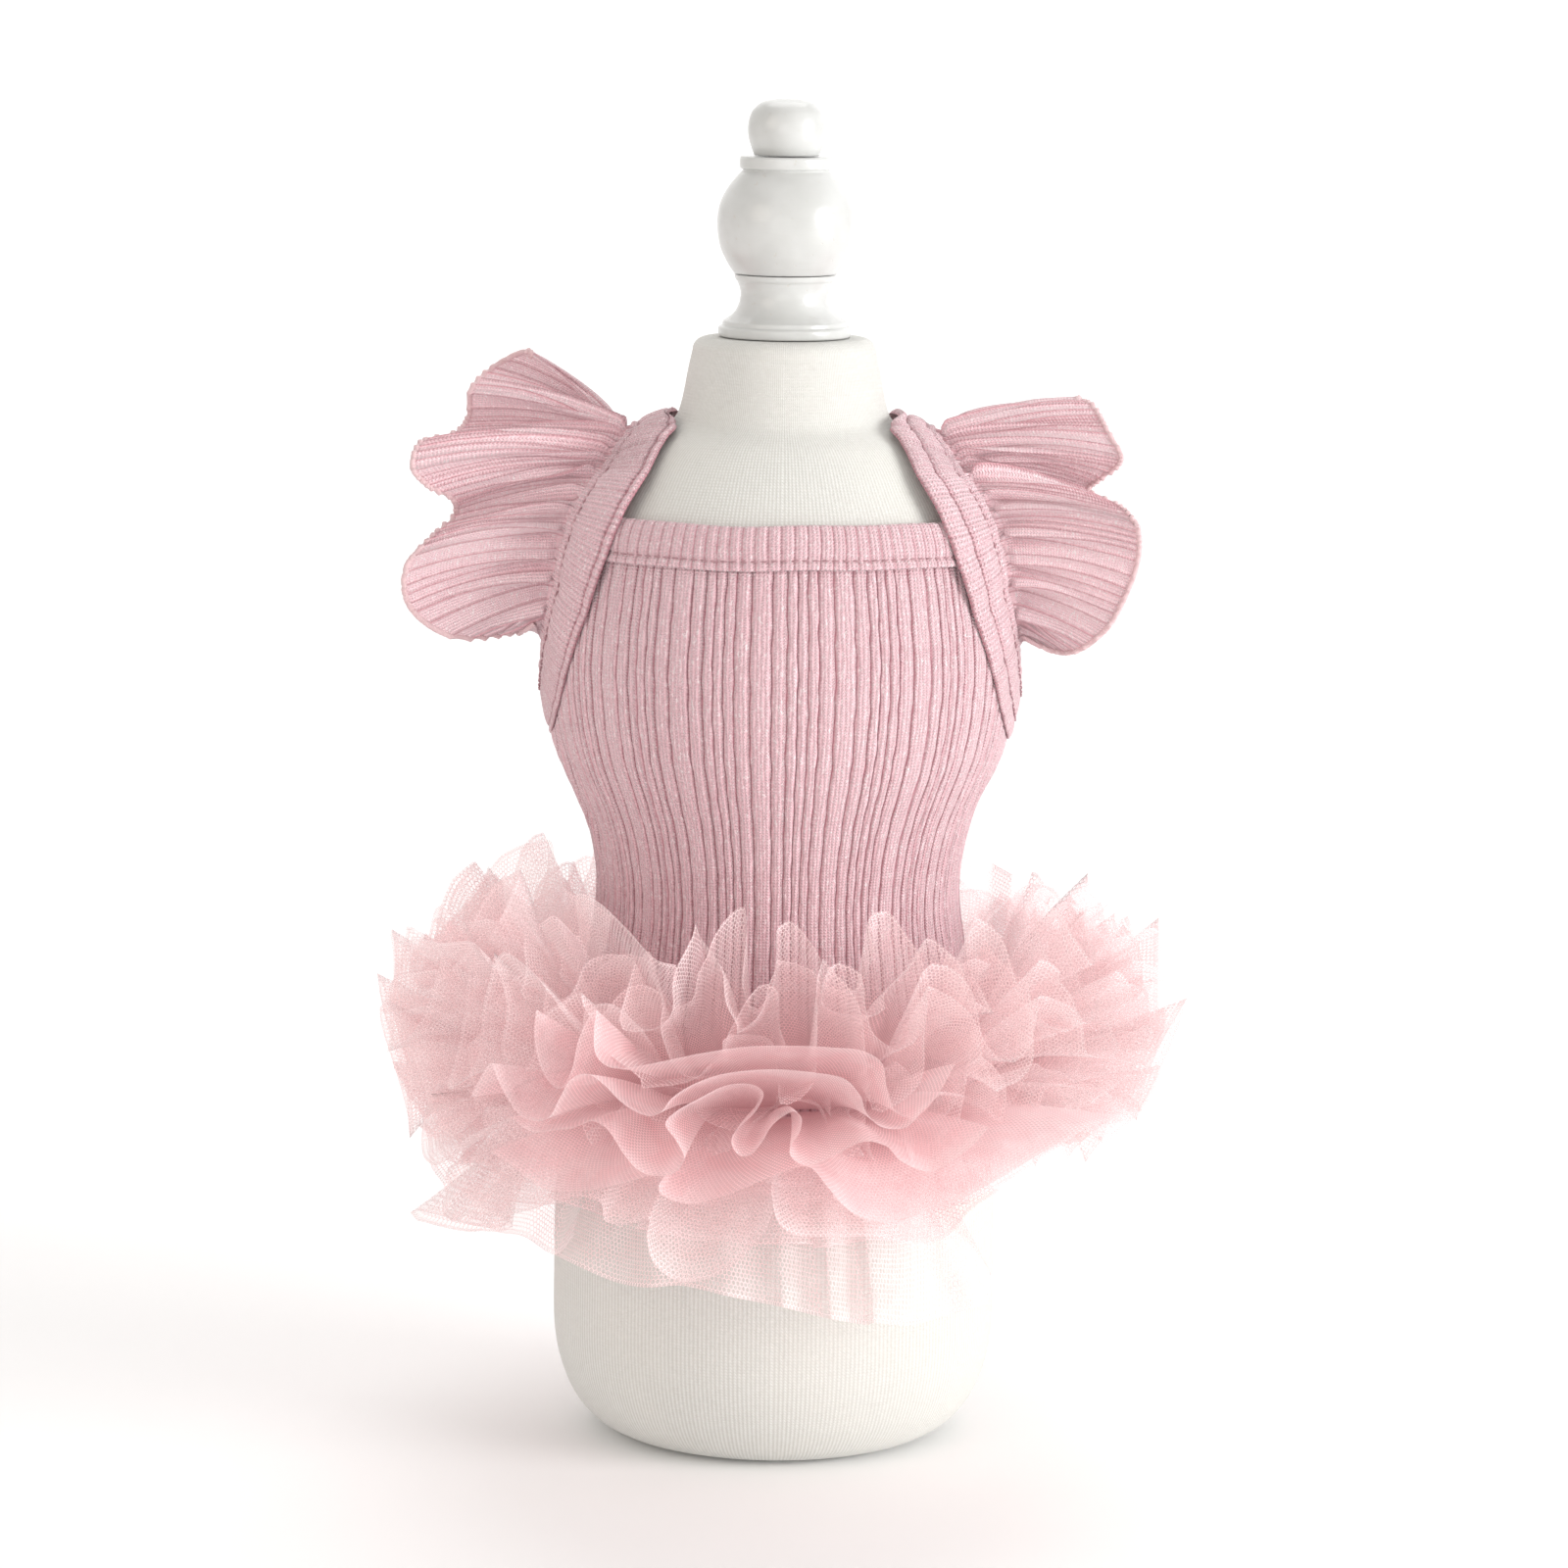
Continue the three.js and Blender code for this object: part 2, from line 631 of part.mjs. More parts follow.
// ---- The tulle tiers ----
// All tiers fan out from a ring just inside the form at the seam, and a wave leans a tier up and down
// within its share of the fan.

// A value set at every 45 degrees, carried smoothly round the body.
function allRound(values, turn) {
  const n = values.length;
  const place = (turn / 360) * n;
  const k = Math.floor(place);
  const t = place - k;
  const [a, b, c, d] = [-1, 0, 1, 2].map((shift) => values[(k + shift + n) % n]);
  return b + 0.5 * t * (c - a + t * (2 * a - 5 * b + 4 * c - d + t * (3 * (b - c) + d - a)));
}

// The crest that begins a wave: where it lies, counted in waves, and how strong it is.
function tierCrest(tier, wave) {
  const number = (wave + tier.waves) % tier.waves;
  return {
    place: wave + TULLE.crestShift * uneven(tier.turn, number),
    strength: 1 - TULLE.swingLoss * (1 - uneven(tier.turn, number, 3)),
    reach: 1 + TULLE.reachChange * uneven(tier.turn, number, 7),
  };
}

function tierPoint(tier, turns, row) {
  const wave = Math.floor(turns);
  const phase = turns - wave;
  const [crest, next] = [tierCrest(tier, wave), tierCrest(tier, wave + 1)];
  const spread = phase + (TULLE.crestSpread * row.swing * Math.sin(4 * Math.PI * phase)) / (4 * Math.PI);
  const around = tier.turn + (360 / tier.waves) * lerp(crest.place, next.place, spread);
  const turn = ((around % 360) + 360) % 360;
  const swing = tier.swing * row.swing * lerp(crest.strength, next.strength, phase);
  const sway = TULLE.sway * (Math.sin(radians(2 * turn + 40)) + Math.sin(radians(5 * turn)));
  const fan = allRound(tier.fan, turn) + row.lift + sway + swing * Math.cos(2 * Math.PI * phase);
  return fannedPoint(turn, radians(fan), allRound(tier.reach, turn) * crest.reach, row.share);
}

// A point on a line that fans out from the seam's ring. It starts clear of the bodice, and ends at reach.
function fannedPoint(turn, fan, reach, share) {
  const section = (column, z) => columnAt(FORM_SECTIONS, "z", column, z);
  const standOff = TULLE.centreInside + knitCrest + 2 * SEAM_GAP + TULLE.wall / 2;
  const rootZ = TULLE.seamZ + standOff * Math.tan(fan);
  const widening = Math.max(section("halfWidth", rootZ) - section("halfWidth", TULLE.seamZ), 0);
  const start = (standOff + widening) / Math.cos(fan);
  const distance = lerp(start, reach, share);
  const heading = new THREE.Vector3(Math.sin(radians(turn)), -Math.cos(radians(turn)), 0);
  return new THREE.Vector3(
    (section("halfWidth", TULLE.seamZ) - TULLE.centreInside) * heading.x,
    (section("halfDepth", TULLE.seamZ) - TULLE.centreInside) * heading.y,
    TULLE.seamZ + distance * Math.sin(fan),
  ).addScaledVector(heading, distance * Math.cos(fan));
}

function tierGeometry(tier) {
  const columns = tier.waves * TULLE.pointsPerWave;
  const sheet = TULLE_ROWS.map((row) =>
    Array.from({ length: columns }, (_, i) =>
      tierPoint(tier, i / TULLE.pointsPerWave, row),
    ),
  );
  const half = TULLE.wall / 2;
  return wallGeometry(
    movedOut(sheet, () => half, true),
    movedOut(sheet, () => -half, true),
    { closed: true },
  );
}

// ---- The assembly ----
const group = new THREE.Group();

function addPiece(name, geometry, look) {
  const mesh = new THREE.Mesh(geometry, new THREE.MeshStandardMaterial(look));
  mesh.name = name;
  group.add(mesh);
}

addPiece("form_body", formGeometry(), FORM_CLOTH);
addPiece("finial_foot", turnedGeometry(FINIAL_FOOT), PAINT);
addPiece("finial_ball", turnedGeometry(FINIAL_BALL), PAINT);
addPiece("finial_knob", turnedGeometry(FINIAL_KNOB), PAINT);
addPiece("bodice_front", bodicePanel(0), KNIT);
addPiece("bodice_back", bodicePanel(180), KNIT);
addPiece("neck_binding_front", neckBinding(0), KNIT);
addPiece("neck_binding_back", neckBinding(180), KNIT);
for (const [name, side] of [
  ["left", -1],
  ["right", 1],
]) {
  addPiece("armhole_band_" + name, bandGeometry(side), KNIT);
  addPiece("flounce_" + name, flounceGeometry(name, side), KNIT);
}
TIERS.forEach((tier) => addPiece(tier.name, tierGeometry(tier), NET));

export default group;
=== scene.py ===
"""A small dog's tutu dress on a padded dress form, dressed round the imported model.

Tables and shapes are in millimetres and repeat the part's own: +Z up, the front faces -Y, and turn is an
angle in degrees from the front towards +X. Only the single sheets' hem lines are in the photo's pixels.
Meshes are made in metres.
"""

import math

import bpy
import numpy as np
from mathutils import Matrix, Vector


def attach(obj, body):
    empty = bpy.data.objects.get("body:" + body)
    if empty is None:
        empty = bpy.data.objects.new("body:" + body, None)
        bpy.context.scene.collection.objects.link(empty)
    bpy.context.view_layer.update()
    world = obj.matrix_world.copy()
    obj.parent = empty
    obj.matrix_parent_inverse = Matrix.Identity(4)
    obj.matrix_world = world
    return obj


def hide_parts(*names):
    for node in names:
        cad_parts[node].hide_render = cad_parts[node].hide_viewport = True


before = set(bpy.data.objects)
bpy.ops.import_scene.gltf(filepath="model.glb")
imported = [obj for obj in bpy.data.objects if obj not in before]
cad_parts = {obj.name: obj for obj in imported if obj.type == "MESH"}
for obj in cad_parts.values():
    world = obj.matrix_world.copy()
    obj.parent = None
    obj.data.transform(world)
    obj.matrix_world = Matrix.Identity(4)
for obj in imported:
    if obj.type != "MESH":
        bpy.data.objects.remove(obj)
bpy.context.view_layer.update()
MM = 0.001

# ---- The part's tables ----
FORM_SECTIONS = np.array(
    [  # z, half width, half depth
        (0, 38, 31.5), (1.6, 44, 37.3), (6, 50.4, 43.2), (14, 55.6, 48.4), (26, 58.8, 52), (44, 59.2, 52.6),
        (68, 58.7, 52.3), (92, 56.4, 51), (114, 52.2, 48.2), (135, 47.9, 45.2), (152, 46.4, 44.2),
        (170, 49.8, 46.4), (190, 58, 51.8), (211, 61, 53.8), (232, 58.6, 51), (248.5, 54.3, 45),
        (260, 46.8, 38), (265, 42.6, 34.2), (268.5, 38, 31.4), (271, 32.4, 28.8), (273, 28.8, 27.2),
        (277, 26.9, 26), (286.5, 25, 24.4), (292.8, 23.6, 23.3),
    ]
)
NECK_TOP = 294.6
NECK_CORNER = 3.4  # the radius at the top of the neck
BODICE_HEM, BODICE_TOP = 92.0, 248.5
RIB_REPEATS, RIB_START = 18, -7.0
RIB_GROOVES = (0.0, 0.25, 0.43, 0.555, 0.68, 0.805, 1.0)  # shares of one repeat
BAND_LINE = [  # turn, z, width, from the underarm to the top of the shoulder
    (90, 197, 14), (81, 199.5, 15), (73, 206, 16), (67, 216, 17), (60.5, 232, 18), (56, 247, 18),
    (56.5, 260, 17), (60, 265.5, 15), (69, 269.4, 13), (90, 270.8, 12),
]
BAND_LIFT = np.array([(186, 2.1), (210, 2.1), (228, 2.4), (239, 3.9), (252, 3.9), (264, 2), (275, 1.4)])
BAND_WALL = 1.3
FLOUNCE_START_Z = 215
FLOUNCE_BOW = 0.05  # how far a rib bows up on its way to the hem, as a share of its length
FLOUNCE_FOLDS = {  # along, out, rise, forward
    "left": [
        (0.00, 1, 4, 3), (0.03, 9, -4, -5), (0.065, 24, -9, 7), (0.10, 36, -8, 10), (0.14, 38, -5, 11),
        (0.18, 34, -4, 4), (0.22, 33, -7, -8), (0.26, 37, -8, -2), (0.30, 44, -6, 9), (0.34, 49, -2, 14),
        (0.38, 49, 2, 8), (0.42, 44, 0, -8), (0.46, 42, 3, -14), (0.49, 41, 10, -7), (0.52, 36, 15, -12),
        (0.56, 25, 20, -4), (0.63, 27, 15, -22), (0.70, 31, 15, -8), (0.77, 29, 12, -22),
        (0.84, 29, 11, -6), (0.91, 19, 5, -18), (0.96, 7, 3, -6), (1.00, 0, 2, -3),
    ],
    "right": [
        (0.00, 0, 2, 3), (0.04, 13, -7, 5), (0.08, 24, -7, 9), (0.12, 31, -6, 3), (0.16, 35, -4, 4),
        (0.20, 36, -2, 11), (0.25, 37, -5, 6), (0.29, 33, -6, -9), (0.33, 37, -5, -7), (0.38, 43, -1, 5),
        (0.43, 42, 4, 3), (0.48, 40, 8, -6), (0.52, 37, 8, -14), (0.57, 36, 7, -4), (0.63, 32, 4, -20),
        (0.70, 33, 3, -6), (0.77, 31, -6, -22), (0.84, 26, -4, -6), (0.91, 16, -7, -18), (0.96, 7, -2, -6),
        (1.00, 0, 1, -3),
    ],
}
SEAM_Z, CENTRE_INSIDE, TIER_STAND_OFF = 100.0, 3.5, 6.5
TIERS = [  # fan and reach every 45 degrees from the front by +X, then waves, swing, turn
    ((61, 58, 54, 49, 46, 51, 58, 60), (58, 58, 57, 57, 56, 57, 58, 58), 21, 10, 4),
    ((37, 35, 33, 28, 25, 30, 36, 37), (55, 57, 57, 56, 56, 56, 56, 56), 20, 10, 13),
    ((13, 12, 11, 7, 4, 8, 13, 14), (54, 54, 53, 53, 53, 53, 52, 53), 19, 10, 2),
    ((-10, -11, -10, -14, -17, -14, -9, -9), (49, 49, 48, 49, 50, 50, 49, 49), 19, 10, 9),
    ((-31, -33, -32, -35, -38, -34, -31, -30), (48, 43, 34, 40, 48, 51, 52, 49), 17, 10, 17),
    ((-56, -65, -60, -58, -60, -55, -51, -53), (56, 48, 30, 40, 53, 54, 57, 52), 15, 9.5, 6),
]
FINIALS = {  # height above the neck, radius
    "finial_foot": [
        (0.3, 16.9), (0.7, 17.2), (2.4, 17.3), (2.9, 16.9), (3.1, 16.3), (4.2, 16.1), (4.7, 15.3),
        (6.4, 13.2), (9, 11.9), (11.8, 11.6), (14.4, 12.4), (15.0, 12.9), (16.3, 13.3),
    ],
    "finial_ball": [
        (16.6, 13.4), (19.4, 15.2), (23, 16.9), (27, 17.7), (31, 17.8), (35, 17), (39, 14.9), (42.2, 12.3),
        (43.2, 11.3), (43.5, 11.6), (43.8, 12.0), (46.2, 12.1), (46.7, 11.8),
    ],
    "finial_knob": [
        (47, 8.4), (49, 9.2), (52, 10), (55.5, 10), (58.5, 8.9), (60.6, 6.4), (61.4, 2.8),
    ],
}


# ---- Curves ----
def smooth(table_x, table_y, x):
    """A smooth curve through a table, the same as the part's own."""
    xs, ys = np.asarray(table_x, float), np.asarray(table_y, float)
    slopes = np.empty_like(ys)
    slopes[1:-1] = (ys[2:] - ys[:-2]) / (xs[2:] - xs[:-2])
    slopes[0] = (ys[1] - ys[0]) / (xs[1] - xs[0])
    slopes[-1] = (ys[-1] - ys[-2]) / (xs[-1] - xs[-2])
    i = np.clip(np.searchsorted(xs, x) - 1, 0, len(xs) - 2)
    span = xs[i + 1] - xs[i]
    t = np.clip((x - xs[i]) / span, 0, 1)
    return (
        ys[i] * (1 + 2 * t) * (1 - t) ** 2
        + slopes[i] * span * t * (1 - t) ** 2
        + ys[i + 1] * t * t * (3 - 2 * t)
        + slopes[i + 1] * span * t * t * (t - 1)
    )


def unit(vectors):
    return vectors / np.maximum(np.linalg.norm(vectors, axis=-1, keepdims=True), 1e-9)


def run_lengths(line):
    """How far along a line of points each of them lies."""
    return np.concatenate([[0], np.cumsum(np.linalg.norm(np.diff(line, axis=0), axis=1))])


def closed_curve(points, t):
    """A centripetal Catmull-Rom curve through a closed ring of points."""
    points = np.asarray(points, float)
    count = len(points)
    place = np.mod(t, 1.0) * count
    k = np.floor(place).astype(int)
    w = (place - k)[..., None]
    p0, p1, p2, p3 = (points[(k + shift) % count] for shift in (-1, 0, 1, 2))
    gap = lambda a, b: np.sqrt(np.linalg.norm(b - a, axis=-1, keepdims=True))
    d0, d1, d2 = gap(p0, p1), gap(p1, p2), gap(p2, p3)
    m1 = ((p1 - p0) / d0 - (p2 - p0) / (d0 + d1) + (p2 - p1) / d1) * d1
    m2 = ((p2 - p1) / d1 - (p3 - p1) / (d1 + d2) + (p3 - p2) / d2) * d1
    c2, c3 = -3 * p1 + 3 * p2 - 2 * m1 - m2, 2 * p1 - 2 * p2 + m1 + m2
    return p1 + m1 * w + c2 * w**2 + c3 * w**3


def all_round(values, turn):
    """A value set at every 45 degrees, carried smoothly round the body."""
    values = np.asarray(values, float)
    n = len(values)
    place = np.mod(turn, 360) / 360 * n
    k = np.floor(place).astype(int)
    t = place - k
    a, b, c, d = (values[(k + shift) % n] for shift in (-1, 0, 1, 2))
    return b + 0.5 * t * (c - a + t * (2 * a - 5 * b + 4 * c - d + t * (3 * (b - c) + d - a)))


def uneven(*seeds):
    """A repeatable number from -1 to 1 for a fold, the same as the part's own."""
    mixed = 4.137 + sum(np.asarray(s, float) * (12.9898 + 65.233 * i) for i, s in enumerate(seeds))
    share = np.sin(mixed) * 43758.5453
    return 2 * (share - np.floor(share)) - 1


# ---- Places on the form ----
def half_width(z):
    return smooth(FORM_SECTIONS[:, 0], FORM_SECTIONS[:, 1], z)


def half_depth(z):
    return smooth(FORM_SECTIONS[:, 0], FORM_SECTIONS[:, 2], z)


def on_form(turn, z):
    angle = np.radians(turn)
    x, y = half_width(z) * np.sin(angle), -half_depth(z) * np.cos(angle)
    return np.stack(np.broadcast_arrays(x, y, z), -1)


def form_normal(turn, z):
    d_turn, d_z = 0.5, 0.25
    around = on_form(turn + d_turn, z) - on_form(turn - d_turn, z)
    up = on_form(turn, np.minimum(z + d_z, NECK_TOP)) - on_form(turn, np.maximum(z - d_z, 0))
    return unit(np.cross(around, up))


def over_form(turn, z, off):
    turn, z, off = np.broadcast_arrays(*(np.asarray(v, float) for v in (turn, z, off)))
    return on_form(turn, z) + form_normal(turn, z) * off[..., None]


# ---- Meshes ----
def grid_piece(name, points, material, uv, closed=False, marks=None):
    """A quad mesh over a grid of points in mm. uv is in mm, with one more column where it is closed."""
    rows, cols = points.shape[:2]
    j, i = np.meshgrid(np.arange(rows - 1), np.arange(cols if closed else cols - 1), indexing="ij")
    k = (i + 1) % cols
    faces = np.stack([j * cols + i, j * cols + k, (j + 1) * cols + k, (j + 1) * cols + i], -1)
    mesh = bpy.data.meshes.new(name)
    mesh.from_pydata((points.reshape(-1, 3) * MM).tolist(), [], faces.reshape(-1, 4).tolist())
    corner_uv = np.stack([uv[j, i], uv[j, i + 1], uv[j + 1, i + 1], uv[j + 1, i]], 2)
    mesh.uv_layers.new(name="cut").data.foreach_set("uv", corner_uv.ravel())
    for mark, values in (marks or {}).items():
        layer = mesh.attributes.new(mark, "FLOAT", "POINT")
        layer.data.foreach_set("value", np.broadcast_to(values, (rows, cols)).ravel())
    return finished(name, mesh, material)


def finished(name, mesh, material):
    mesh.shade_smooth()
    mesh.materials.append(material)
    piece = bpy.data.objects.new(name, mesh)
    bpy.context.collection.objects.link(piece)
    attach(piece, "root")
    return piece


def measured_uv(points, closed=False):
    """Lengths along the columns' and rows' middles, in mm, so that a weave keeps its scale."""
    ring = np.concatenate([points, points[:, :1]], 1) if closed else points
    along = np.linalg.norm(np.diff(ring, axis=1), axis=2)
    widest = along[np.argmax(along.sum(1))]
    u = np.concatenate([[0], np.cumsum(widest)])
    v = np.concatenate([[0], np.cumsum(np.linalg.norm(np.diff(ring, axis=0), axis=2).mean(1))])
    return np.stack(np.meshgrid(u, v), -1)


def moved_along_normals(points, distance, closed=False):
    """The grid moved along its own normals by a distance for each point."""
    if closed:
        around = np.roll(points, -1, 1) - np.roll(points, 1, 1)
    else:
        around = np.gradient(points, axis=1)
    normals = unit(np.cross(around, np.gradient(points, axis=0)))
    return points + normals * distance[..., None]


def tube_rings(line, radius, sides, side_way, closed=False):
    """Rings of points round a line, with side_way setting where each ring starts."""
    if closed:
        along = unit(np.roll(line, -1, 0) - np.roll(line, 1, 0))
    else:
        along = unit(np.gradient(line, axis=0))
    a = unit(np.cross(along, side_way))
    b = np.cross(a, along)
    angle = np.linspace(0, 2 * math.pi, sides, endpoint=False)
    radius = np.broadcast_to(radius, (len(line), sides))[..., None]
    ring = a[:, None] * np.cos(angle)[None, :, None] + b[:, None] * np.sin(angle)[None, :, None]
    return line[:, None] + ring * radius


# ---- Materials ----
class Graph:
    """Short names for the nodes that a material is made of."""

    def __init__(self, name):
        self.material = bpy.data.materials.new(name)
        self.material.use_nodes = True
        self.tree = self.material.node_tree
        self.shader = self.tree.nodes["Principled BSDF"]

    def link(self, value, socket):
        if isinstance(value, bpy.types.NodeSocket):
            self.tree.links.new(value, socket)
        else:
            socket.default_value = value

    def node(self, kind, inputs=(), **settings):
        """A node with its settings, and with what goes into its inputs, in order or by name."""
        node = self.tree.nodes.new("ShaderNode" + kind)
        for setting, value in settings.items():
            setattr(node, setting, value)
        for key, value in inputs.items() if isinstance(inputs, dict) else enumerate(inputs):
            self.link(value, node.inputs[key])
        return node

    def math(self, operation, *values):
        return self.node("Math", values, operation=operation).outputs[0]

    def vector(self, operation, *values):
        node = self.node("VectorMath", values, operation=operation)
        return node.outputs["Value" if operation in ("DOT_PRODUCT", "LENGTH") else "Vector"]

    def ramp(self, value, low, high):
        """0 below low and 1 above high, smoothly."""
        sockets = {"Value": value, "From Min": low, "From Max": high}
        return self.node("MapRange", sockets, interpolation_type="SMOOTHSTEP").outputs[0]

    def noise(self, where, scale, detail=2.0, roughness=0.5):
        sockets = {"Vector": where, "Scale": scale, "Detail": detail, "Roughness": roughness}
        return self.node("TexNoise", sockets).outputs[0]

    def mix(self, share, *colours):
        a, b = (c if isinstance(c, bpy.types.NodeSocket) else (*c, 1) for c in colours)
        return self.node("Mix", {0: share, 6: a, 7: b}, data_type="RGBA").outputs[2]

    def mark(self, name):
        return self.node("Attribute", attribute_name=name).outputs["Fac"]

    def cut(self):
        """The place on the flat cut cloth, in mm, as a vector and as its two parts."""
        place = self.node("UVMap", uv_map="cut").outputs[0]
        split = self.node("SeparateXYZ", (place,))
        return place, split.outputs[0], split.outputs[1]

    def place(self):
        """The place on the object, in metres."""
        return self.node("TexCoord").outputs["Object"]

    def bump(self, height, distance, strength=1.0):
        relief = self.node("Bump", {"Strength": strength, "Distance": distance, "Height": height})
        self.link(relief.outputs[0], self.shader.inputs["Normal"])

    def looks(self, **values):
        for name, value in values.items():
            self.link(value, self.shader.inputs[name.replace("_", " ")])
        return self.material


def stripes(g, along, pitch):
    """A round-topped stripe from 0 to 1 at each pitch."""
    turned = g.math("MULTIPLY", along, 2 * math.pi / pitch)
    return g.math("MULTIPLY_ADD", g.math("COSINE", turned), 0.5, 0.5)


def stitches(g, u, v, wale, course):
    """Knit stitches: V shapes in columns one wale wide, a course apart."""
    column = g.math("PINGPONG", g.math("DIVIDE", u, wale), 0.5)
    slanted = g.math("MULTIPLY_ADD", column, course * 0.9, v)
    return g.math("MULTIPLY", stripes(g, slanted, course), stripes(g, u, wale))


KNIT_WALE, KNIT_COURSE = 0.95, 0.8  # mm between stitches, across and along
JERSEY_WALE, JERSEY_COURSE = 1.05, 0.85
JERSEY_DARK, JERSEY_LIGHT, JERSEY_WARM = (0.61, 0.60, 0.565), (0.745, 0.745, 0.72), (0.74, 0.715, 0.665)
PAINT_DARK, PAINT_LIGHT, PAINT_PIT = (0.57, 0.575, 0.56), (0.645, 0.65, 0.64), (0.58, 0.53, 0.46)
NET_CREASE_HIGHLIGHT = (0.92, 0.74, 0.74)
NET_PITCH = 1.25  # mm from hole to hole
NET_THREAD = 0.1  # a thread's half width, as a share of the pitch


def knit_material(name, light, dark, groove_shade, pale, glow=0.0):
    g = Graph(name)
    _, u, v = g.cut()
    place = g.place()
    heather = g.noise(place, 950, 3.0, 0.7)
    flecks = g.ramp(g.noise(g.vector("MULTIPLY", place, (1, 1, 0.45)), 1700, 2.0), 0.55, 0.7)
    cloud = g.noise(place, 45, 2.0)
    loops = stitches(g, u, v, KNIT_WALE, KNIT_COURSE)
    height = g.mark("rib")
    mottle = g.math("ADD", g.math("MULTIPLY", heather, 0.75), g.math("MULTIPLY", loops, 0.25))
    tone = g.ramp(mottle, 0.3, 0.75)
    colour = g.mix(tone, dark, light)
    colour = g.mix(g.math("MULTIPLY", flecks, 0.7), colour, pale)
    colour = g.mix(g.math("MULTIPLY", g.ramp(cloud, 0.35, 0.75), 0.18), colour, light)
    # Painted shade in the grooves: where the rib mark is low, the colour darkens towards the groove colour.
    painted_groove_shade = g.math("SUBTRACT", 1.0, g.ramp(g.math("MULTIPLY_ADD", heather, 0.5, height), 0.3, 1.0))
    colour = g.mix(g.math("MULTIPLY", painted_groove_shade, 0.85), colour, groove_shade)
    fuzz = g.math("MULTIPLY_ADD", heather, 0.6, loops)
    g.bump(fuzz, 0.0007, 0.8)
    return g.looks(
        Base_Color=colour,
        Roughness=0.95,
        Sheen_Weight=0.65,
        Sheen_Roughness=0.42,
        Sheen_Tint=(1.0, 0.94, 0.955, 1),
        Specular_IOR_Level=0.2,
        # Emission: a painted glow that stands in for light coming through one layer.
        Emission_Color=(1.0, 0.68, 0.72, 1),
        Emission_Strength=glow,  # light that comes through one layer
    )


def jersey_material(name):
    g = Graph(name)
    _, u, v = g.cut()
    place = g.place()
    fibres = g.noise(place, 900, 3.0, 0.6)
    cloud = g.noise(place, 22, 3.0)
    wales = stripes(g, u, JERSEY_WALE)
    loops = stitches(g, u, v, JERSEY_WALE, JERSEY_COURSE)
    tone = g.ramp(g.math("ADD", g.math("MULTIPLY", fibres, 0.5), g.math("MULTIPLY", wales, 0.5)), 0.2, 0.8)
    colour = g.mix(tone, JERSEY_DARK, JERSEY_LIGHT)
    colour = g.mix(g.math("MULTIPLY", g.ramp(cloud, 0.4, 0.7), 0.25), colour, JERSEY_WARM)
    g.bump(g.math("MULTIPLY_ADD", loops, 0.8, g.math("MULTIPLY", fibres, 0.5)), 0.0003, 0.5)
    return g.looks(Base_Color=colour, Roughness=0.92, Sheen_Weight=0.2, Specular_IOR_Level=0.25)


def paint_material(name):
    g = Graph(name)
    place = g.place()
    cloud = g.noise(place, 60, 3.0)
    brush = g.noise(g.vector("MULTIPLY", place, (0.25, 0.25, 1.6)), 420, 2.0)
    pits = g.ramp(g.noise(place, 700, 1.0), 0.70, 0.76)
    colour = g.mix(g.ramp(cloud, 0.35, 0.7), PAINT_DARK, PAINT_LIGHT)
    colour = g.mix(g.math("MULTIPLY", pits, 0.35), colour, PAINT_PIT)
    relief = g.math("MULTIPLY_ADD", pits, -0.6, g.math("MULTIPLY_ADD", cloud, 0.8, brush))
    g.bump(relief, 0.00022, 0.35)
    gloss = g.math("MULTIPLY_ADD", cloud, 0.12, 0.24)
    return g.looks(Base_Color=colour, Roughness=gloss, Coat_Weight=0.5, Coat_Roughness=0.12)


def hexagon_edge(g, where, pitch):
    """The distance to the nearest thread of a hexagonal net, as a share of the pitch."""
    half = (0.5, math.sqrt(3) / 2, 0.5)
    p = g.vector("MULTIPLY", where, (1 / pitch, 1 / pitch, 0))
    cell = lambda shift: g.vector("WRAP", g.vector("ADD", p, shift), half, tuple(-h for h in half))
    a, b = cell((0, 0, 0)), cell((0.5, math.sqrt(3) / 2, 0))
    nearer = g.math("LESS_THAN", g.vector("LENGTH", a), g.vector("LENGTH", b))
    nearest = g.node("Mix", {0: nearer, 4: b, 5: a}, data_type="VECTOR").outputs[1]
    inside = g.vector("ABSOLUTE", nearest)
    slanted = g.vector("DOT_PRODUCT", inside, (0.5, math.sqrt(3) / 2, 0))
    across = g.node("SeparateXYZ", (inside,)).outputs[0]
    return g.math("SUBTRACT", 0.5, g.math("MAXIMUM", slanted, across))


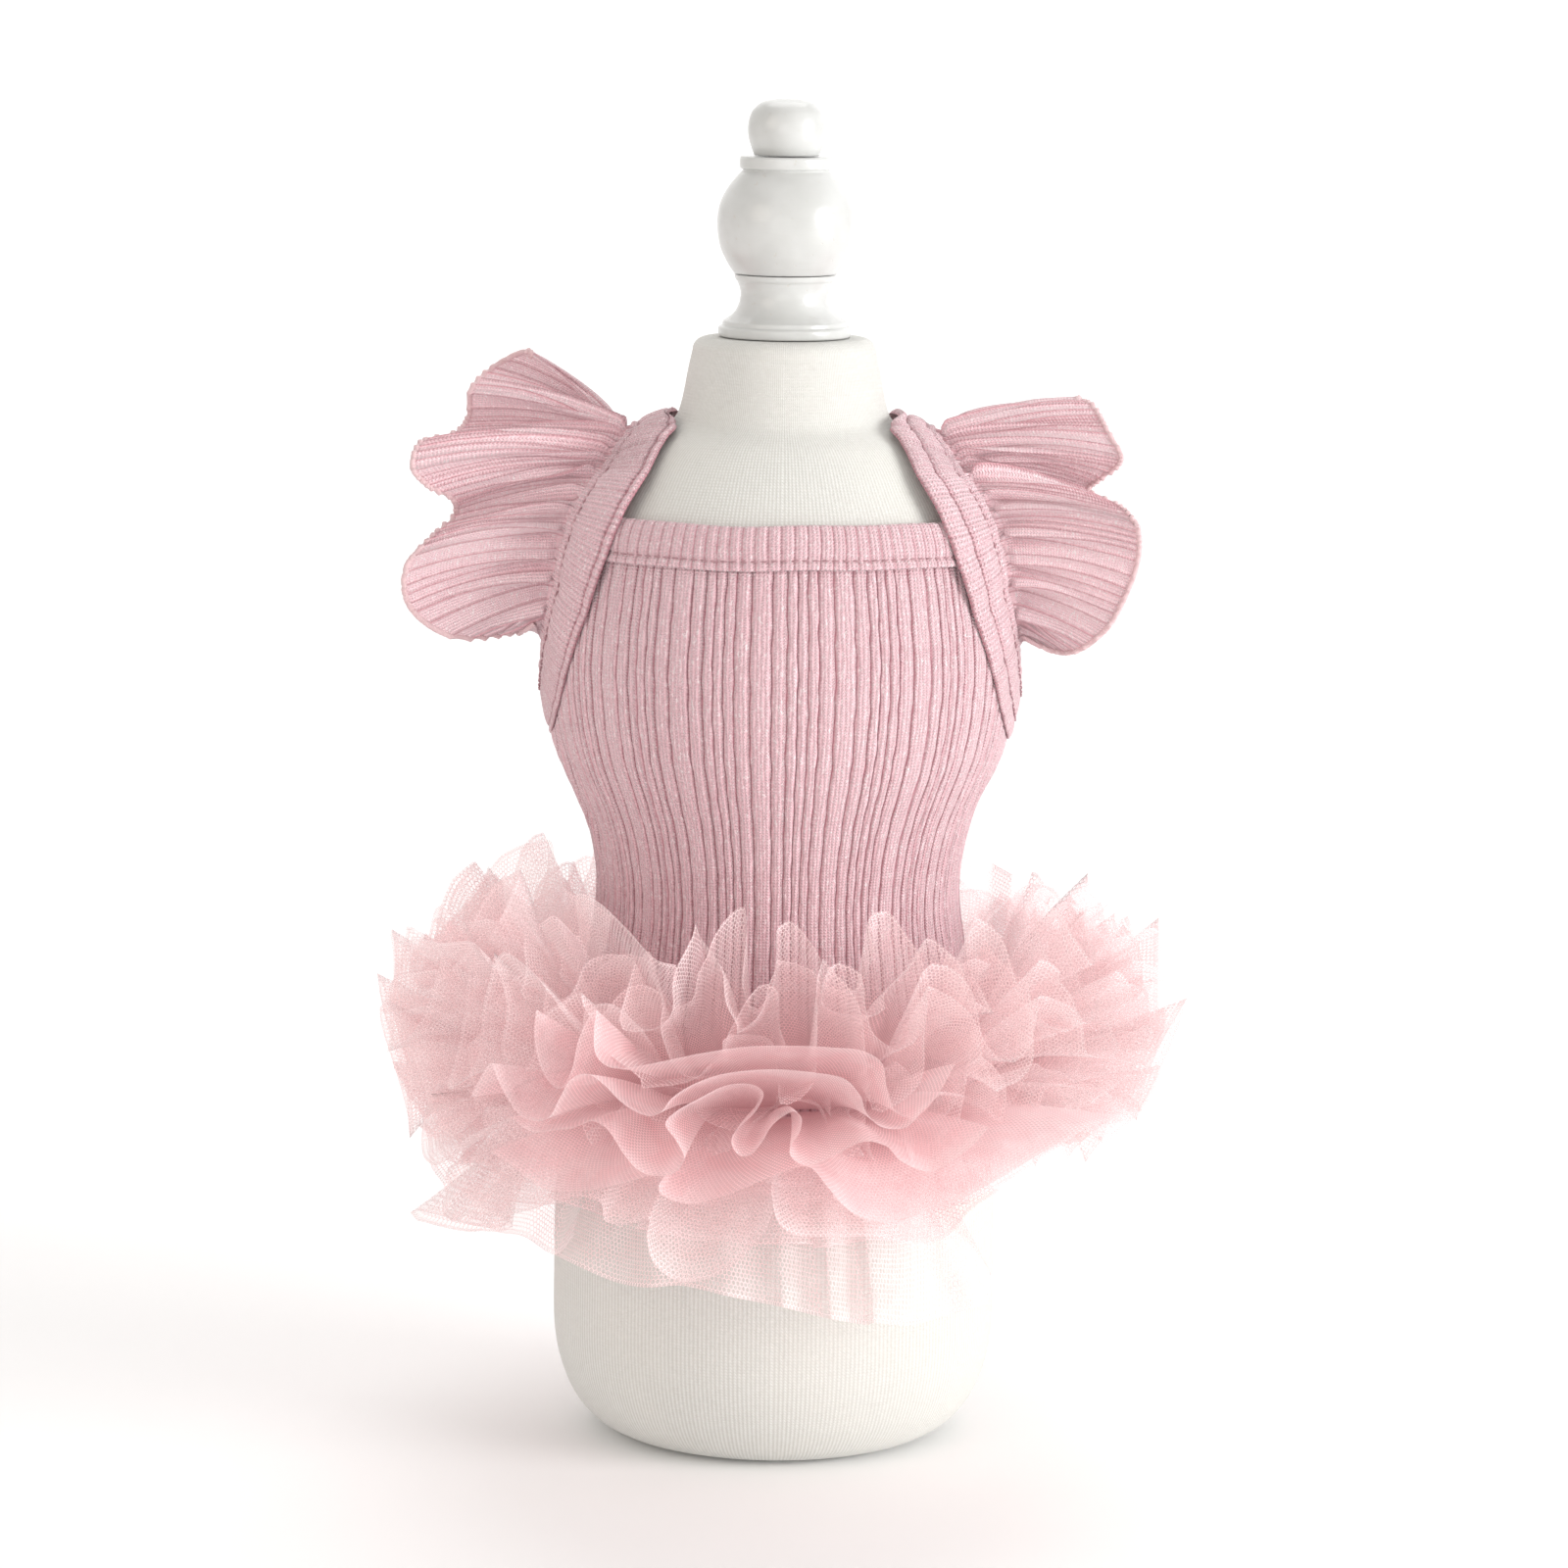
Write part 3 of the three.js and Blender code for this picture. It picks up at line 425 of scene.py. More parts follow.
def net_material(name, colour, deep_tone_and_shade, haze):
    """Net: hexagonal threads, with a haze between them for the layers that can't be told apart."""
    g = Graph(name)
    where, along, _ = g.cut()
    off_thread = g.ramp(hexagon_edge(g, where, NET_PITCH), NET_THREAD * 0.55, NET_THREAD * 1.25)
    threads = g.math("SUBTRACT", 1.0, off_thread)
    dense, gathered = g.mark("bunched_and_highlit"), g.mark("gathered")
    cover = g.math("MAXIMUM", g.math("MULTIPLY", threads, 0.92), haze)
    cover = g.math("MAXIMUM", cover, g.math("MULTIPLY", dense, 0.6))
    cover = g.math("MAXIMUM", cover, g.math("MULTIPLY", gathered, 0.8))
    tone = g.ramp(g.noise(g.place(), 160, 0.0), 0.35, 0.7)
    # Random tone, and painted shade towards the gathered root, both in the deep colour.
    shade = g.mix(g.math("MAXIMUM", g.math("MULTIPLY", tone, 0.4), gathered), colour, deep_tone_and_shade)
    # A painted highlight: a lighter colour along the creases and the hem, where the net also lies denser.
    shade = g.mix(g.math("MULTIPLY", dense, 0.6), shade, NET_CREASE_HIGHLIGHT)
    g.bump(stripes(g, along, 0.45), 0.0001, 0.4)
    g.material.use_transparent_shadow = True
    return g.looks(
        Base_Color=shade,
        Roughness=0.7,
        Alpha=cover,
        Sheen_Weight=0.45,
        Specular_IOR_Level=0.3,
        # Emission: a painted glow that stands in for light coming through the layers.
        Emission_Color=(1.0, 0.66, 0.68, 1),
        Emission_Strength=0.10,  # light that comes through the layers
    )


def thread_material(name, light, dark):
    g = Graph(name)
    _, u, v = g.cut()
    twist = stripes(g, g.math("ADD", u, g.math("MULTIPLY", v, 0.6)), 0.5)
    fibres = g.noise(g.place(), 1500, 2.0)
    colour = g.mix(g.math("MULTIPLY_ADD", twist, 0.6, g.math("MULTIPLY", fibres, 0.4)), dark, light)
    g.bump(twist, 0.00015, 0.5)
    return g.looks(Base_Color=colour, Roughness=0.7, Sheen_Weight=0.3)


def stage_material(name, shade):
    g = Graph(name)
    faint = g.noise(g.place(), 3, 2.0)
    colour = g.mix(faint, (shade, shade, shade), (shade + 0.02,) * 3)
    return g.looks(Base_Color=colour, Roughness=1.0)


# In both knits the groove colour is painted shade between the ribs.
KNIT = knit_material(
    "rib_knit",
    light=(0.88, 0.645, 0.685),
    dark=(0.75, 0.475, 0.52),
    groove_shade=(0.46, 0.17, 0.21),
    pale=(0.94, 0.83, 0.84),
)
# A paler copy of the rib knit with a painted glow, for the single-layer flounces: painted light for the
# light they catch and let through.
LIT_SINGLE_KNIT = knit_material(
    "rib_knit_single_lit",
    light=(0.92, 0.715, 0.745),
    dark=(0.79, 0.545, 0.585),
    groove_shade=(0.47, 0.17, 0.205),
    pale=(0.95, 0.86, 0.86),
    glow=0.16,
)
JERSEY = jersey_material("form_jersey")
PAINT = paint_material("white_gloss_paint")
NET = net_material("soft_net", colour=(0.89, 0.745, 0.75), deep_tone_and_shade=(0.85, 0.57, 0.58), haze=0.17)
FOLDED_NET = net_material(
    "soft_net_folded", colour=(0.88, 0.66, 0.67), deep_tone_and_shade=(0.84, 0.46, 0.485), haze=0.48
)
OVERLOCK = thread_material("overlock_thread", (0.84, 0.64, 0.655), (0.66, 0.42, 0.44))
SEWING = thread_material("sewing_thread", (0.60, 0.35, 0.38), (0.38, 0.18, 0.21))


# ---- The dress form and its finial ----
FORM_COLUMNS = 192
FORM_RADIUS = 52.5  # the mean radius that the jersey's wales are counted on


def make_form():
    turn = np.linspace(0, 360, FORM_COLUMNS, endpoint=False)
    dense = [np.linspace(0, 1.6, 5), np.linspace(2, 26, 25), np.linspace(27.5, 250, 149)]
    corner = np.radians(np.linspace(0, 90, 10))[:, None, None]
    heights = np.concatenate(dense + [np.linspace(251, NECK_TOP - NECK_CORNER, 60)])
    side = on_form(turn[None, :], heights[:, None])
    inset = 1 - NECK_CORNER * (1 - np.cos(corner)) / np.linalg.norm(side[-1, 0, :2])
    rounded = side[-1:] * np.concatenate([inset, inset, np.ones_like(inset)], -1)
    side = np.concatenate([side, rounded[1:] + NECK_CORNER * np.sin(corner[1:]) * (0, 0, 1)])
    shrunk = lambda ring, shares: np.stack([ring * (s, s, 1) for s in shares])
    base = shrunk(side[0], (0.001, 0.5, 0.9, 0.98))
    top = shrunk(side[-1], (0.985, 0.93, 0.6, 0.001))
    points = np.concatenate([base, side, top])
    round_form = np.linspace(0, 360, FORM_COLUMNS + 1) / 360 * 2 * math.pi * FORM_RADIUS
    u = np.broadcast_to(round_form, (len(points), FORM_COLUMNS + 1))
    rise = run_lengths(points[:, 0])
    uv = np.stack([u, np.broadcast_to(rise[:, None], u.shape)], -1)
    piece = grid_piece("form_jersey_body", points, JERSEY, uv, closed=True)
    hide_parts("form_body")


PROFILE_SAMPLES, TURNED_COLUMNS = 5, 96


def rounded_profile(profile):
    """More points on a turned profile, on a smooth curve through the given ones."""
    rows = np.array(profile, float)
    place = np.linspace(0, len(rows) - 1, (len(rows) - 1) * PROFILE_SAMPLES + 1)
    steps = np.arange(len(rows))
    length = run_lengths(rows)
    at = np.interp(place, steps, length)
    return np.stack([smooth(length, rows[:, c], at) for c in (0, 1)], -1)


def make_turned(name, profile):
    rows = rounded_profile(profile)
    ends = [(rows[0, 0], 0.01), (rows[0, 0], rows[0, 1] * 0.97)]
    tops = [(rows[-1, 0], rows[-1, 1] * 0.9), (rows[-1, 0] + 0.05, 0.01)]
    rows = np.concatenate([ends, rows, tops])
    angle = np.linspace(0, 2 * math.pi, TURNED_COLUMNS, endpoint=False)
    z, r = rows[:, :1], rows[:, 1:]
    points = np.stack(np.broadcast_arrays(r * np.sin(angle), -r * np.cos(angle), z + NECK_TOP), -1)
    piece = grid_piece(name + "_turned", points, PAINT, measured_uv(points, True), closed=True)
    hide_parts(name)


# ---- Rib knit ----
WIDE_RIB, NARROW_RIB = (14, 4), (8, 2.2)  # columns and squareness
WIDE_RIB_SHARE = 0.22  # of a repeat, above which a rib is a wide one
KNIT_RADIUS = 52  # the mean radius that turns are measured on along the knit
BODICE_OFF, BODICE_RIB = 1.2, 0.82  # the grooves' distance from the form, and the ribs' height
BODICE_ROWS = 110


def rib_columns(start, repeats):
    """The places of the knit's columns over its repeats, and how high each stands, from 0 to 1."""
    place, height = [], []
    for k in range(repeats):
        for a, b in zip(RIB_GROOVES[:-1], RIB_GROOVES[1:]):
            columns, squareness = WIDE_RIB if b - a > WIDE_RIB_SHARE else NARROW_RIB
            s = 0.5 - 0.5 * np.cos(math.pi * np.linspace(0, 1, columns, endpoint=False))
            place.append(start + k + a + s * (b - a))
            height.append(np.maximum(1 - np.abs(2 * s - 1) ** squareness, 0) ** 0.6)
    return np.append(np.concatenate(place), start + repeats), np.append(np.concatenate(height), 0)


def armhole_top(turn):
    """The height of the bodice's upper edge at a turn from the front or the back, up to 90 degrees."""
    line = np.array(BAND_LINE[:7], float)
    line = line[line[:, 0] >= 56][:6]
    order = np.argsort(line[:, 0])
    turns, z = line[order, 0], line[order, 1]
    under_band = np.minimum(smooth(turns, z, np.abs(turn)), BODICE_TOP)
    return np.where(np.abs(turn) < turns[0], BODICE_TOP, under_band)


PULLS = [  # folds in the bodice below the underarms: turn, z, turn, z, height, half width
    (-84, 196, -66, 171, 1.1, 3.0), (-88, 188, -72, 160, 0.9, 2.6), (-80, 178, -60, 158, -0.6, 2.6),
    (86, 192, 70, 170, 0.5, 3.0), (-74, 150, -52, 128, 0.5, 3.5), (72, 146, 50, 126, 0.4, 3.5),
]


def pulls(turn, z):
    """How far the soft pull folds stand out."""
    out = np.zeros(np.broadcast(turn, z).shape)
    for t0, z0, t1, z1, height, width in PULLS:
        mm = math.radians(1) * KNIT_RADIUS
        ax, az, bx, bz = t0 * mm, z0, t1 * mm, z1
        px, pz = turn * mm - ax, z - az
        length = math.hypot(bx - ax, bz - az)
        ux, uz = (bx - ax) / length, (bz - az) / length
        along, across = (px * ux + pz * uz) / length, px * uz - pz * ux
        ends = np.clip(1 - np.abs(2 * along - 1) ** 2, 0, 1)
        out = out + height * ends * np.exp(-((across / width) ** 2))
    return out


def wander(turn, z):
    """How far a rib strays to the side, in degrees."""
    return (
        0.10 * np.sin(z / 1.9 + turn * 2.1)
        + 0.08 * np.sin(z / 3.1 - turn * 1.3 + 1)
        + 0.08 * np.sin(z / 1.1 + turn * 3.7)
    )


def make_bodice(name, middle):
    per_repeat = 360 / RIB_REPEATS
    first = (middle - 90 - RIB_START) / per_repeat
    start = math.floor(first)
    place, height = rib_columns(start, RIB_REPEATS // 2 + 2)
    turn = RIB_START + place * per_repeat - middle
    keep = np.abs(turn) < 90
    turn, height = turn[keep], height[keep]
    turn = np.concatenate([[-90], turn, [90]])
    height = np.concatenate([[0.5], height, [0.5]])
    share = np.linspace(0, 1, BODICE_ROWS)[:, None]
    z = BODICE_HEM + share * (armhole_top(turn)[None, :] - BODICE_HEM)
    puff = pulls(turn[None, :], z) if middle == 0 else np.zeros_like(z)
    off = BODICE_OFF + BODICE_RIB * height[None, :] + np.maximum(puff, -0.5)
    inside = np.clip((90 - np.abs(turn[None, :])) / 3, 0, 1)
    points = over_form(middle + turn[None, :] + inside * wander(turn[None, :], z), z, off)
    uv = np.stack([np.broadcast_to(np.radians(turn)[None, :] * KNIT_RADIUS, z.shape), z], -1)
    # The rib mark sets where the knit's painted groove shade falls.
    marks = {"rib": np.broadcast_to(height[None, :], z.shape)}
    piece = grid_piece(name + "_knit", points, KNIT, uv, marks=marks)
    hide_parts(name)
    return piece


# ---- The neck binding ----
BINDING_PROFILE = [  # z, distance from the form
    (239.6, 2.25), (238.9, 2.45), (238.7, 2.95), (239.2, 3.4), (240.1, 3.35), (240.7, 3.0), (241.1, 3.0),
    (241.7, 3.35), (243.2, 3.6), (245.5, 3.65), (247.6, 3.5), (248.9, 3.1), (249.4, 2.4), (249.4, 1.6),
    (249.0, 0.9), (248.0, 0.55), (246.0, 0.5),
]


BINDING_RIBS, BINDING_END, BINDING_COLUMNS, BINDING_ROWS = 34, 54, 340, 44
BINDING_RIB = 0.38


def binding_drift(turn):
    """How far the binding strays up and down along the neck."""
    return 0.35 * np.sin(np.radians(turn * 5.3)) + 0.2 * np.sin(np.radians(turn * 11.0 + 40))


def make_binding(name, middle):
    turn = np.linspace(-BINDING_END, BINDING_END, BINDING_COLUMNS + 1)
    wave = np.abs(np.sin(np.linspace(0, BINDING_RIBS * math.pi, BINDING_COLUMNS + 1))) ** 0.7
    rows = np.array(BINDING_PROFILE)
    length = run_lengths(rows)
    at = np.linspace(0, length[-1], BINDING_ROWS)
    z, off = smooth(length, rows[:, 0], at), smooth(length, rows[:, 1], at)
    drift = binding_drift(turn)
    outside = np.clip((off - 1.0) / 1.2, 0, 1)[:, None]
    slant = turn[None, :] + 0.35 * np.sin((z[:, None] - 240) / 4) * np.sin(np.radians(turn * 9))[None, :]
    raised = off[:, None] + BINDING_RIB * wave[None, :] * outside
    points = over_form(middle + slant, z[:, None] + drift[None, :] * 0.6, raised)
    uv = np.stack(np.meshgrid(np.radians(turn) * 50, at), -1)
    # The rib mark sets the painted shade between the binding's ribs.
    piece = grid_piece(name + "_folded", points, KNIT, uv, marks={"rib": 0.25 + 0.75 * wave[None, :]})
    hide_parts(name)
    return piece


# ---- The armhole bands ----
BAND_RING = BAND_LINE + [(180 - turn, z, width) for turn, z, width in BAND_LINE[-2:0:-1]]
BAND_PROFILES = {  # share from the chest edge to the armhole edge, height over the band's underside
    "left": [
        (-0.500, 0.2), (-0.498, 0.8), (-0.470, 1.25), (-0.430, 1.35), (-0.395, 1.05), (-0.378, 0.45),
        (-0.360, 0.95), (-0.310, 1.55), (-0.200, 1.9), (0.000, 2.05), (0.180, 1.9), (0.280, 1.5),
        (0.318, 0.95), (0.345, 1.3), (0.400, 1.85), (0.450, 1.85), (0.490, 1.4), (0.500, 0.7), (0.495, 0.2),
    ],
    "right": [
        (-0.500, 0.2), (-0.498, 0.8), (-0.460, 1.45), (-0.380, 1.9), (-0.280, 1.95), (-0.190, 1.5),
        (-0.150, 0.6), (-0.110, 1.45), (-0.020, 2.0), (0.120, 2.1), (0.240, 1.75), (0.300, 0.95),
        (0.335, 1.3), (0.390, 1.75), (0.450, 1.75), (0.490, 1.3), (0.500, 0.7), (0.495, 0.2),
    ],
}


def band_place(t, across):
    """Turn and height of a point across the band, in mm from its middle line."""
    ring = lambda at: closed_curve(BAND_RING, at)
    middle = ring(t)
    turn, z = middle[..., 0], middle[..., 1]
    before, after = ring(t - 0.004), ring(t + 0.004)
    tangent = unit(on_form(after[..., 0], after[..., 1]) - on_form(before[..., 0], before[..., 1]))
    inward = unit(np.cross(tangent, form_normal(turn, z)))
    round_ = on_form(turn + 1, z) - on_form(turn - 1, z)
    up = on_form(turn, z + 0.5) - on_form(turn, z - 0.5)
    step = lambda way: (inward * way).sum(-1) / (way * way).sum(-1)
    return turn + across * step(round_) * 2, z + across * step(up)


def band_point(t, share, off, beyond=0.0):
    t, share = np.broadcast_arrays(np.asarray(t, float), np.asarray(share, float))
    width = closed_curve(BAND_RING, t)[..., 2]
    turn, z = band_place(t, share * width + beyond)
    return over_form(turn, z, off)


def band_off(t):
    return smooth(BAND_LIFT[:, 0], BAND_LIFT[:, 1], closed_curve(BAND_RING, t)[..., 1])


def mirrored(points, side):
    return points * (side, 1, 1)


SIDES = {"left": -1, "right": 1}
BAND_RIBS, BAND_COLUMNS, BAND_ROWS = 150, 1050, 46
BAND_UNFOLDED = 15  # mm across, for the lengths along a profile
BAND_GIRTH = 250


def make_band(name):
    t = np.linspace(0, 1, BAND_COLUMNS, endpoint=False)
    rows = np.array(BAND_PROFILES[name])
    length = run_lengths(rows * (BAND_UNFOLDED, 1))
    at = np.linspace(0, length[-1], BAND_ROWS)
    share, height = smooth(length, rows[:, 0], at), smooth(length, rows[:, 1], at)
    uneven_rib = t + 0.0012 * np.sin(2 * math.pi * t * 31) + 0.0009 * np.sin(2 * math.pi * t * 57)
    wave = np.abs(np.sin(math.pi * BAND_RIBS * uneven_rib)) ** 0.8
    gathers = 0.16 * np.sin(2 * math.pi * t * 23) + 0.12 * np.sin(2 * math.pi * t * 41 + 1)
    raised = np.clip(height / 1.2, 0, 1)[:, None]
    flattened = np.interp(closed_curve(BAND_RING, t)[..., 1], (198, 226), (0.5, 1))
    lift = flattened * (height[:, None] + raised * (0.24 * (wave[None, :] - 0.5) + gathers[None, :]))
    outer = band_point(t[None, :], share[:, None], band_off(t)[None, :] + np.maximum(lift, 0.15))
    points = mirrored(outer, SIDES[name])
    ring = np.linspace(0, BAND_GIRTH, len(t) + 1)
    uv = np.stack(np.meshgrid(ring, at), -1)
    # The rib mark sets painted shade between the ribs, in the low stitched lines and at the band's edges.
    marks = {"rib": np.clip(0.45 + 0.55 * wave[None, :], 0, 1) * np.clip(height[:, None] - 0.35, 0, 1)}
    piece = grid_piece("armhole_band_" + name + "_folded", points, KNIT, uv, closed=True, marks=marks)
    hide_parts("armhole_band_" + name)
    return piece


# ---- The flounces ----
FLOUNCE_REPEATS = 15
FLOUNCE_RIB, GATHER_DEPTH, HEM_CREEP = 1.05, 2.6, 0.9
GATHERS, LESSER_GATHERS = 29, 47


def flounce_span():
    t = np.arange(401) / 800
    start = t[np.argmax(band_point(t, 0.5, 0.0)[:, 2] > FLOUNCE_START_Z)]
    return start, 1 - start


def flounce_rows(name, along, down):
    start, end = flounce_span()
    t = start + (end - start) * along
    folds = np.array(FLOUNCE_FOLDS[name], float)
    root = band_point(t, 0.5, band_off(t) + BAND_WALL, 2.0)
    out, rise, forward = (smooth(folds[:, 0], folds[:, c], along) for c in (1, 2, 3))
    edge = np.stack([out, -forward, rise], -1)
    bow = FLOUNCE_BOW * np.linalg.norm(edge, axis=-1) * (4 * down * (1 - down))[:, None]
    rows = root[None] + edge[None] * down[:, None, None] + bow[..., None] * (0, 0, 1)
    tucked = band_point(t, 0.5, band_off(t) + 0.5, -1.2)
    return mirrored(np.concatenate([tucked[None], rows]), SIDES[name])


def make_flounce(name):
    place, height = rib_columns(0, FLOUNCE_REPEATS)
    along = place / FLOUNCE_REPEATS
    down = np.linspace(0, 1, 44) ** 1.1
    sheet = flounce_rows(name, along, down)
    down = np.append(0, down)
    near = np.clip(1 - down / 0.7, 0, 1)[:, None] ** 1.3
    gathers = np.sin(2 * math.pi * along * GATHERS) + 0.7 * np.sin(2 * math.pi * along * LESSER_GATHERS + 1)
    envelope = np.minimum(1, np.minimum(along, 1 - along) / 0.04)[None, :]
    creep = np.sin(math.pi * down)[:, None] * np.sin(2 * math.pi * along * 9 + 2)[None, :]
    freed = 0.3 + 0.7 * np.clip(down / 0.06, 0, 1)[:, None]
    bend = GATHER_DEPTH * near * gathers[None, :] * freed + HEM_CREEP * creep
    rounded = height**1.5
    ribs = FLOUNCE_RIB * rounded[None, :]
    points = moved_along_normals(sheet, SIDES[name] * envelope * (bend + ribs))
    length = run_lengths(points[-1])[-1]
    depth = np.linalg.norm(np.diff(points, axis=0), axis=2).sum(0).mean()
    uv = np.stack(np.meshgrid(along * length, down * depth), -1)
    # The rib mark sets the painted shade between the flounce's ribs, lighter than on the bodice.
    marks = {"rib": np.broadcast_to(0.1 + 0.9 * rounded[None, :], points.shape[:2])}
    piece = grid_piece("flounce_" + name + "_gathered", points, LIT_SINGLE_KNIT, uv, marks=marks)
    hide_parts("flounce_" + name)
    return piece, make_overlock("flounce_" + name + "_overlock", points[-1], points[-3]), length, depth


def even_line(line, step):
    length = run_lengths(line)
    at = np.linspace(0, length[-1], max(int(length[-1] / step), 2))
    return np.stack([np.interp(at, length, line[:, c]) for c in range(3)], -1), at


OVERLOCK_STEP, OVERLOCK_SIDES = 0.28, 8
OVERLOCK_TURN = 1.15  # mm along the edge from one turn of the thread to the next


def make_overlock(name, edge, inner):
    """The thread wrapped over a raw edge: a flat tube whose turns stand up."""
    line, at = even_line(edge, OVERLOCK_STEP)
    back, _ = even_line(inner, OVERLOCK_STEP)
    place = np.linspace(0, len(back) - 1, len(line)).astype(int)
    side_way = unit(back[place] - line)
    turns = 0.10 * np.abs(np.sin(math.pi * at / OVERLOCK_TURN))[:, None]
    angle = np.linspace(0, 2 * math.pi, OVERLOCK_SIDES, endpoint=False)
    flat = 0.42 + 0.26 * np.abs(np.sin(angle))[None, :]
    rings = tube_rings(line, flat + turns, OVERLOCK_SIDES, side_way)
    uv = np.stack(np.meshgrid(np.linspace(0, 4, OVERLOCK_SIDES + 1), at), -1)
    piece = grid_piece(name, rings, OVERLOCK, uv, closed=True)
    return piece


# ---- Sewing ----
STITCH_PITCH, STITCH_SHARE, THREAD_RADIUS, THREAD_SIDES = 2.6, 0.62, 0.24, 6


def stitch_shape(start, end, normal):
    """One stitch: a thread that dips into the cloth at both ends."""
    share = np.array([0.0, 0.12, 0.5, 0.88, 1.0])
    rise = np.array([-0.35, 0.1, 0.3, 0.1, -0.35])
    line = start + (end - start) * share[:, None] + normal * (rise * 0.6)[:, None]
    return tube_rings(line, THREAD_RADIUS, THREAD_SIDES, normal)


def rings_mesh(name, pieces, material):
    """Many short tubes in one mesh, with closed ends."""
    verts, faces = [], []
    for rings in pieces:
        base = len(verts)
        rows, cols = rings.shape[:2]
        verts.extend((rings.reshape(-1, 3) * MM).tolist())
        for j in range(rows - 1):
            for i in range(cols):
                k = (i + 1) % cols
                faces.append([base + j * cols + i, base + j * cols + k,
                              base + (j + 1) * cols + k, base + (j + 1) * cols + i])
        faces.append([base + i for i in range(cols)][::-1])
        faces.append([base + (rows - 1) * cols + i for i in range(cols)])
    mesh = bpy.data.meshes.new(name)
    mesh.from_pydata(verts, [], faces)
    mesh.uv_layers.new(name="cut")
    piece = finished(name, mesh, material)
    return piece


def stitch_row(name, line, normals):
    """A row of stitches along a line that lies on the cloth."""
    length = run_lengths(line)
    at = lambda s, rows: np.array([np.interp(s, length, rows[:, c]) for c in range(3)])
    pieces = []
    for k in range(int(length[-1] / STITCH_PITCH)):
        s = (k + 0.2) * STITCH_PITCH
        end = at(s + STITCH_PITCH * STITCH_SHARE, line)
        pieces.append(stitch_shape(at(s, line), end, at(s, normals)))
    return rings_mesh(name, pieces, SEWING)


def binding_stitches(name, middle):
    turn = np.linspace(-52, 52, 300)
    z = 240.9 + binding_drift(turn) * 0.6
    return stitch_row(name, over_form(middle + turn, z, 3.3), form_normal(middle + turn, z))


def band_stitches(name, share, label, off=1.15):
    side = SIDES[name]
    t = np.linspace(0, 1, 500)
    line = mirrored(band_point(t, share, band_off(t) + off), side)
    turn, z = band_place(t, share * closed_curve(BAND_RING, t)[..., 2])
    return stitch_row("armhole_band_" + name + label, line, mirrored(form_normal(turn, z), side))


# ---- The tulle ----
def lerp(a, b, share):
    return a + (b - a) * share


def fold_shape(phase, sharp):
    """One fold's lean from 1 at its crest to -1 in its hollow, rounded or with a sharp crease."""
    pointed = 1 - 4 * np.abs(np.mod(phase + 0.5, 1) - 0.5)
    return np.cos(2 * math.pi * phase) * (1 - sharp) + pointed * sharp


def tier_frame(tier, turns, share, sharp):
    """The part's own tier at a place in waves and a share of its reach: turn, fan, lean and reach."""
    fans, reaches, waves, swing, offset = tier
    grown = np.interp(share, (0, 0.4, 1), (0.35, 0.7, 1.0))
    lift = np.interp(share, (0, 0.4, 1), (2, 2, -2))
    wave = np.floor(turns)
    phase = turns - wave
    place = lambda k: k + 0.26 * uneven(offset, np.mod(k + waves, waves))
    spread = phase + 1.1 * grown * np.sin(4 * math.pi * phase) / (4 * math.pi)
    turn = np.mod(offset + 360 / waves * lerp(place(wave), place(wave + 1), spread), 360)
    strength = lambda k: 0.86 + 0.14 * uneven(offset, np.mod(k + waves, waves), 3)
    lean = swing * lerp(strength(wave), strength(wave + 1), phase) * grown * fold_shape(phase, sharp)
    sway = 2 * np.sin(np.radians(2 * turn + 40)) + 2 * np.sin(np.radians(5 * turn))
    return turn, all_round(fans, turn) + lift + sway, lean, all_round(reaches, turn)


def seam_ring(turn):
    """The horizontal heading at a turn, and the ring that the tiers fan out from."""
    heading = np.stack([np.sin(np.radians(turn)), -np.cos(np.radians(turn))], -1)
    return heading, heading * (half_width(SEAM_Z) - CENTRE_INSIDE, half_depth(SEAM_Z) - CENTRE_INSIDE)


def from_seam(turn, fan, distance_share, reach):
    """A point on the line that leaves the waist seam at a turn and rises by fan degrees."""
    rise = np.radians(fan)
    root_z = SEAM_Z + TIER_STAND_OFF * np.tan(rise)
    widening = np.maximum(half_width(root_z) - half_width(SEAM_Z), 0)
    start = (TIER_STAND_OFF + widening) / np.cos(rise)
    distance = lerp(start, reach, distance_share)
    heading, ring = seam_ring(turn)
    flat = ring + heading * (distance * np.cos(rise))[..., None]
    return np.concatenate([flat, (SEAM_Z + distance * np.sin(rise))[..., None]], -1)


def own_folds(folds, seed, s, sharp, loop):
    """Uneven folds round a sheet: their shift to the side, in folds, and their lean."""
    rng = np.random.default_rng(seed)
    shift, size = rng.uniform(-0.3, 0.3, folds), rng.uniform(0.5, 1.25, folds)
    length = rng.uniform(-1, 0.25, folds)
    k = np.floor(s).astype(int)
    p = s - k
    between = lambda values: lerp(values[k % folds], values[(k + 1) % folds], p)
    sideways = between(shift) + loop * np.sin(4 * math.pi * p) / (4 * math.pi)
    return sideways, between(size) * fold_shape(p, sharp), between(length)


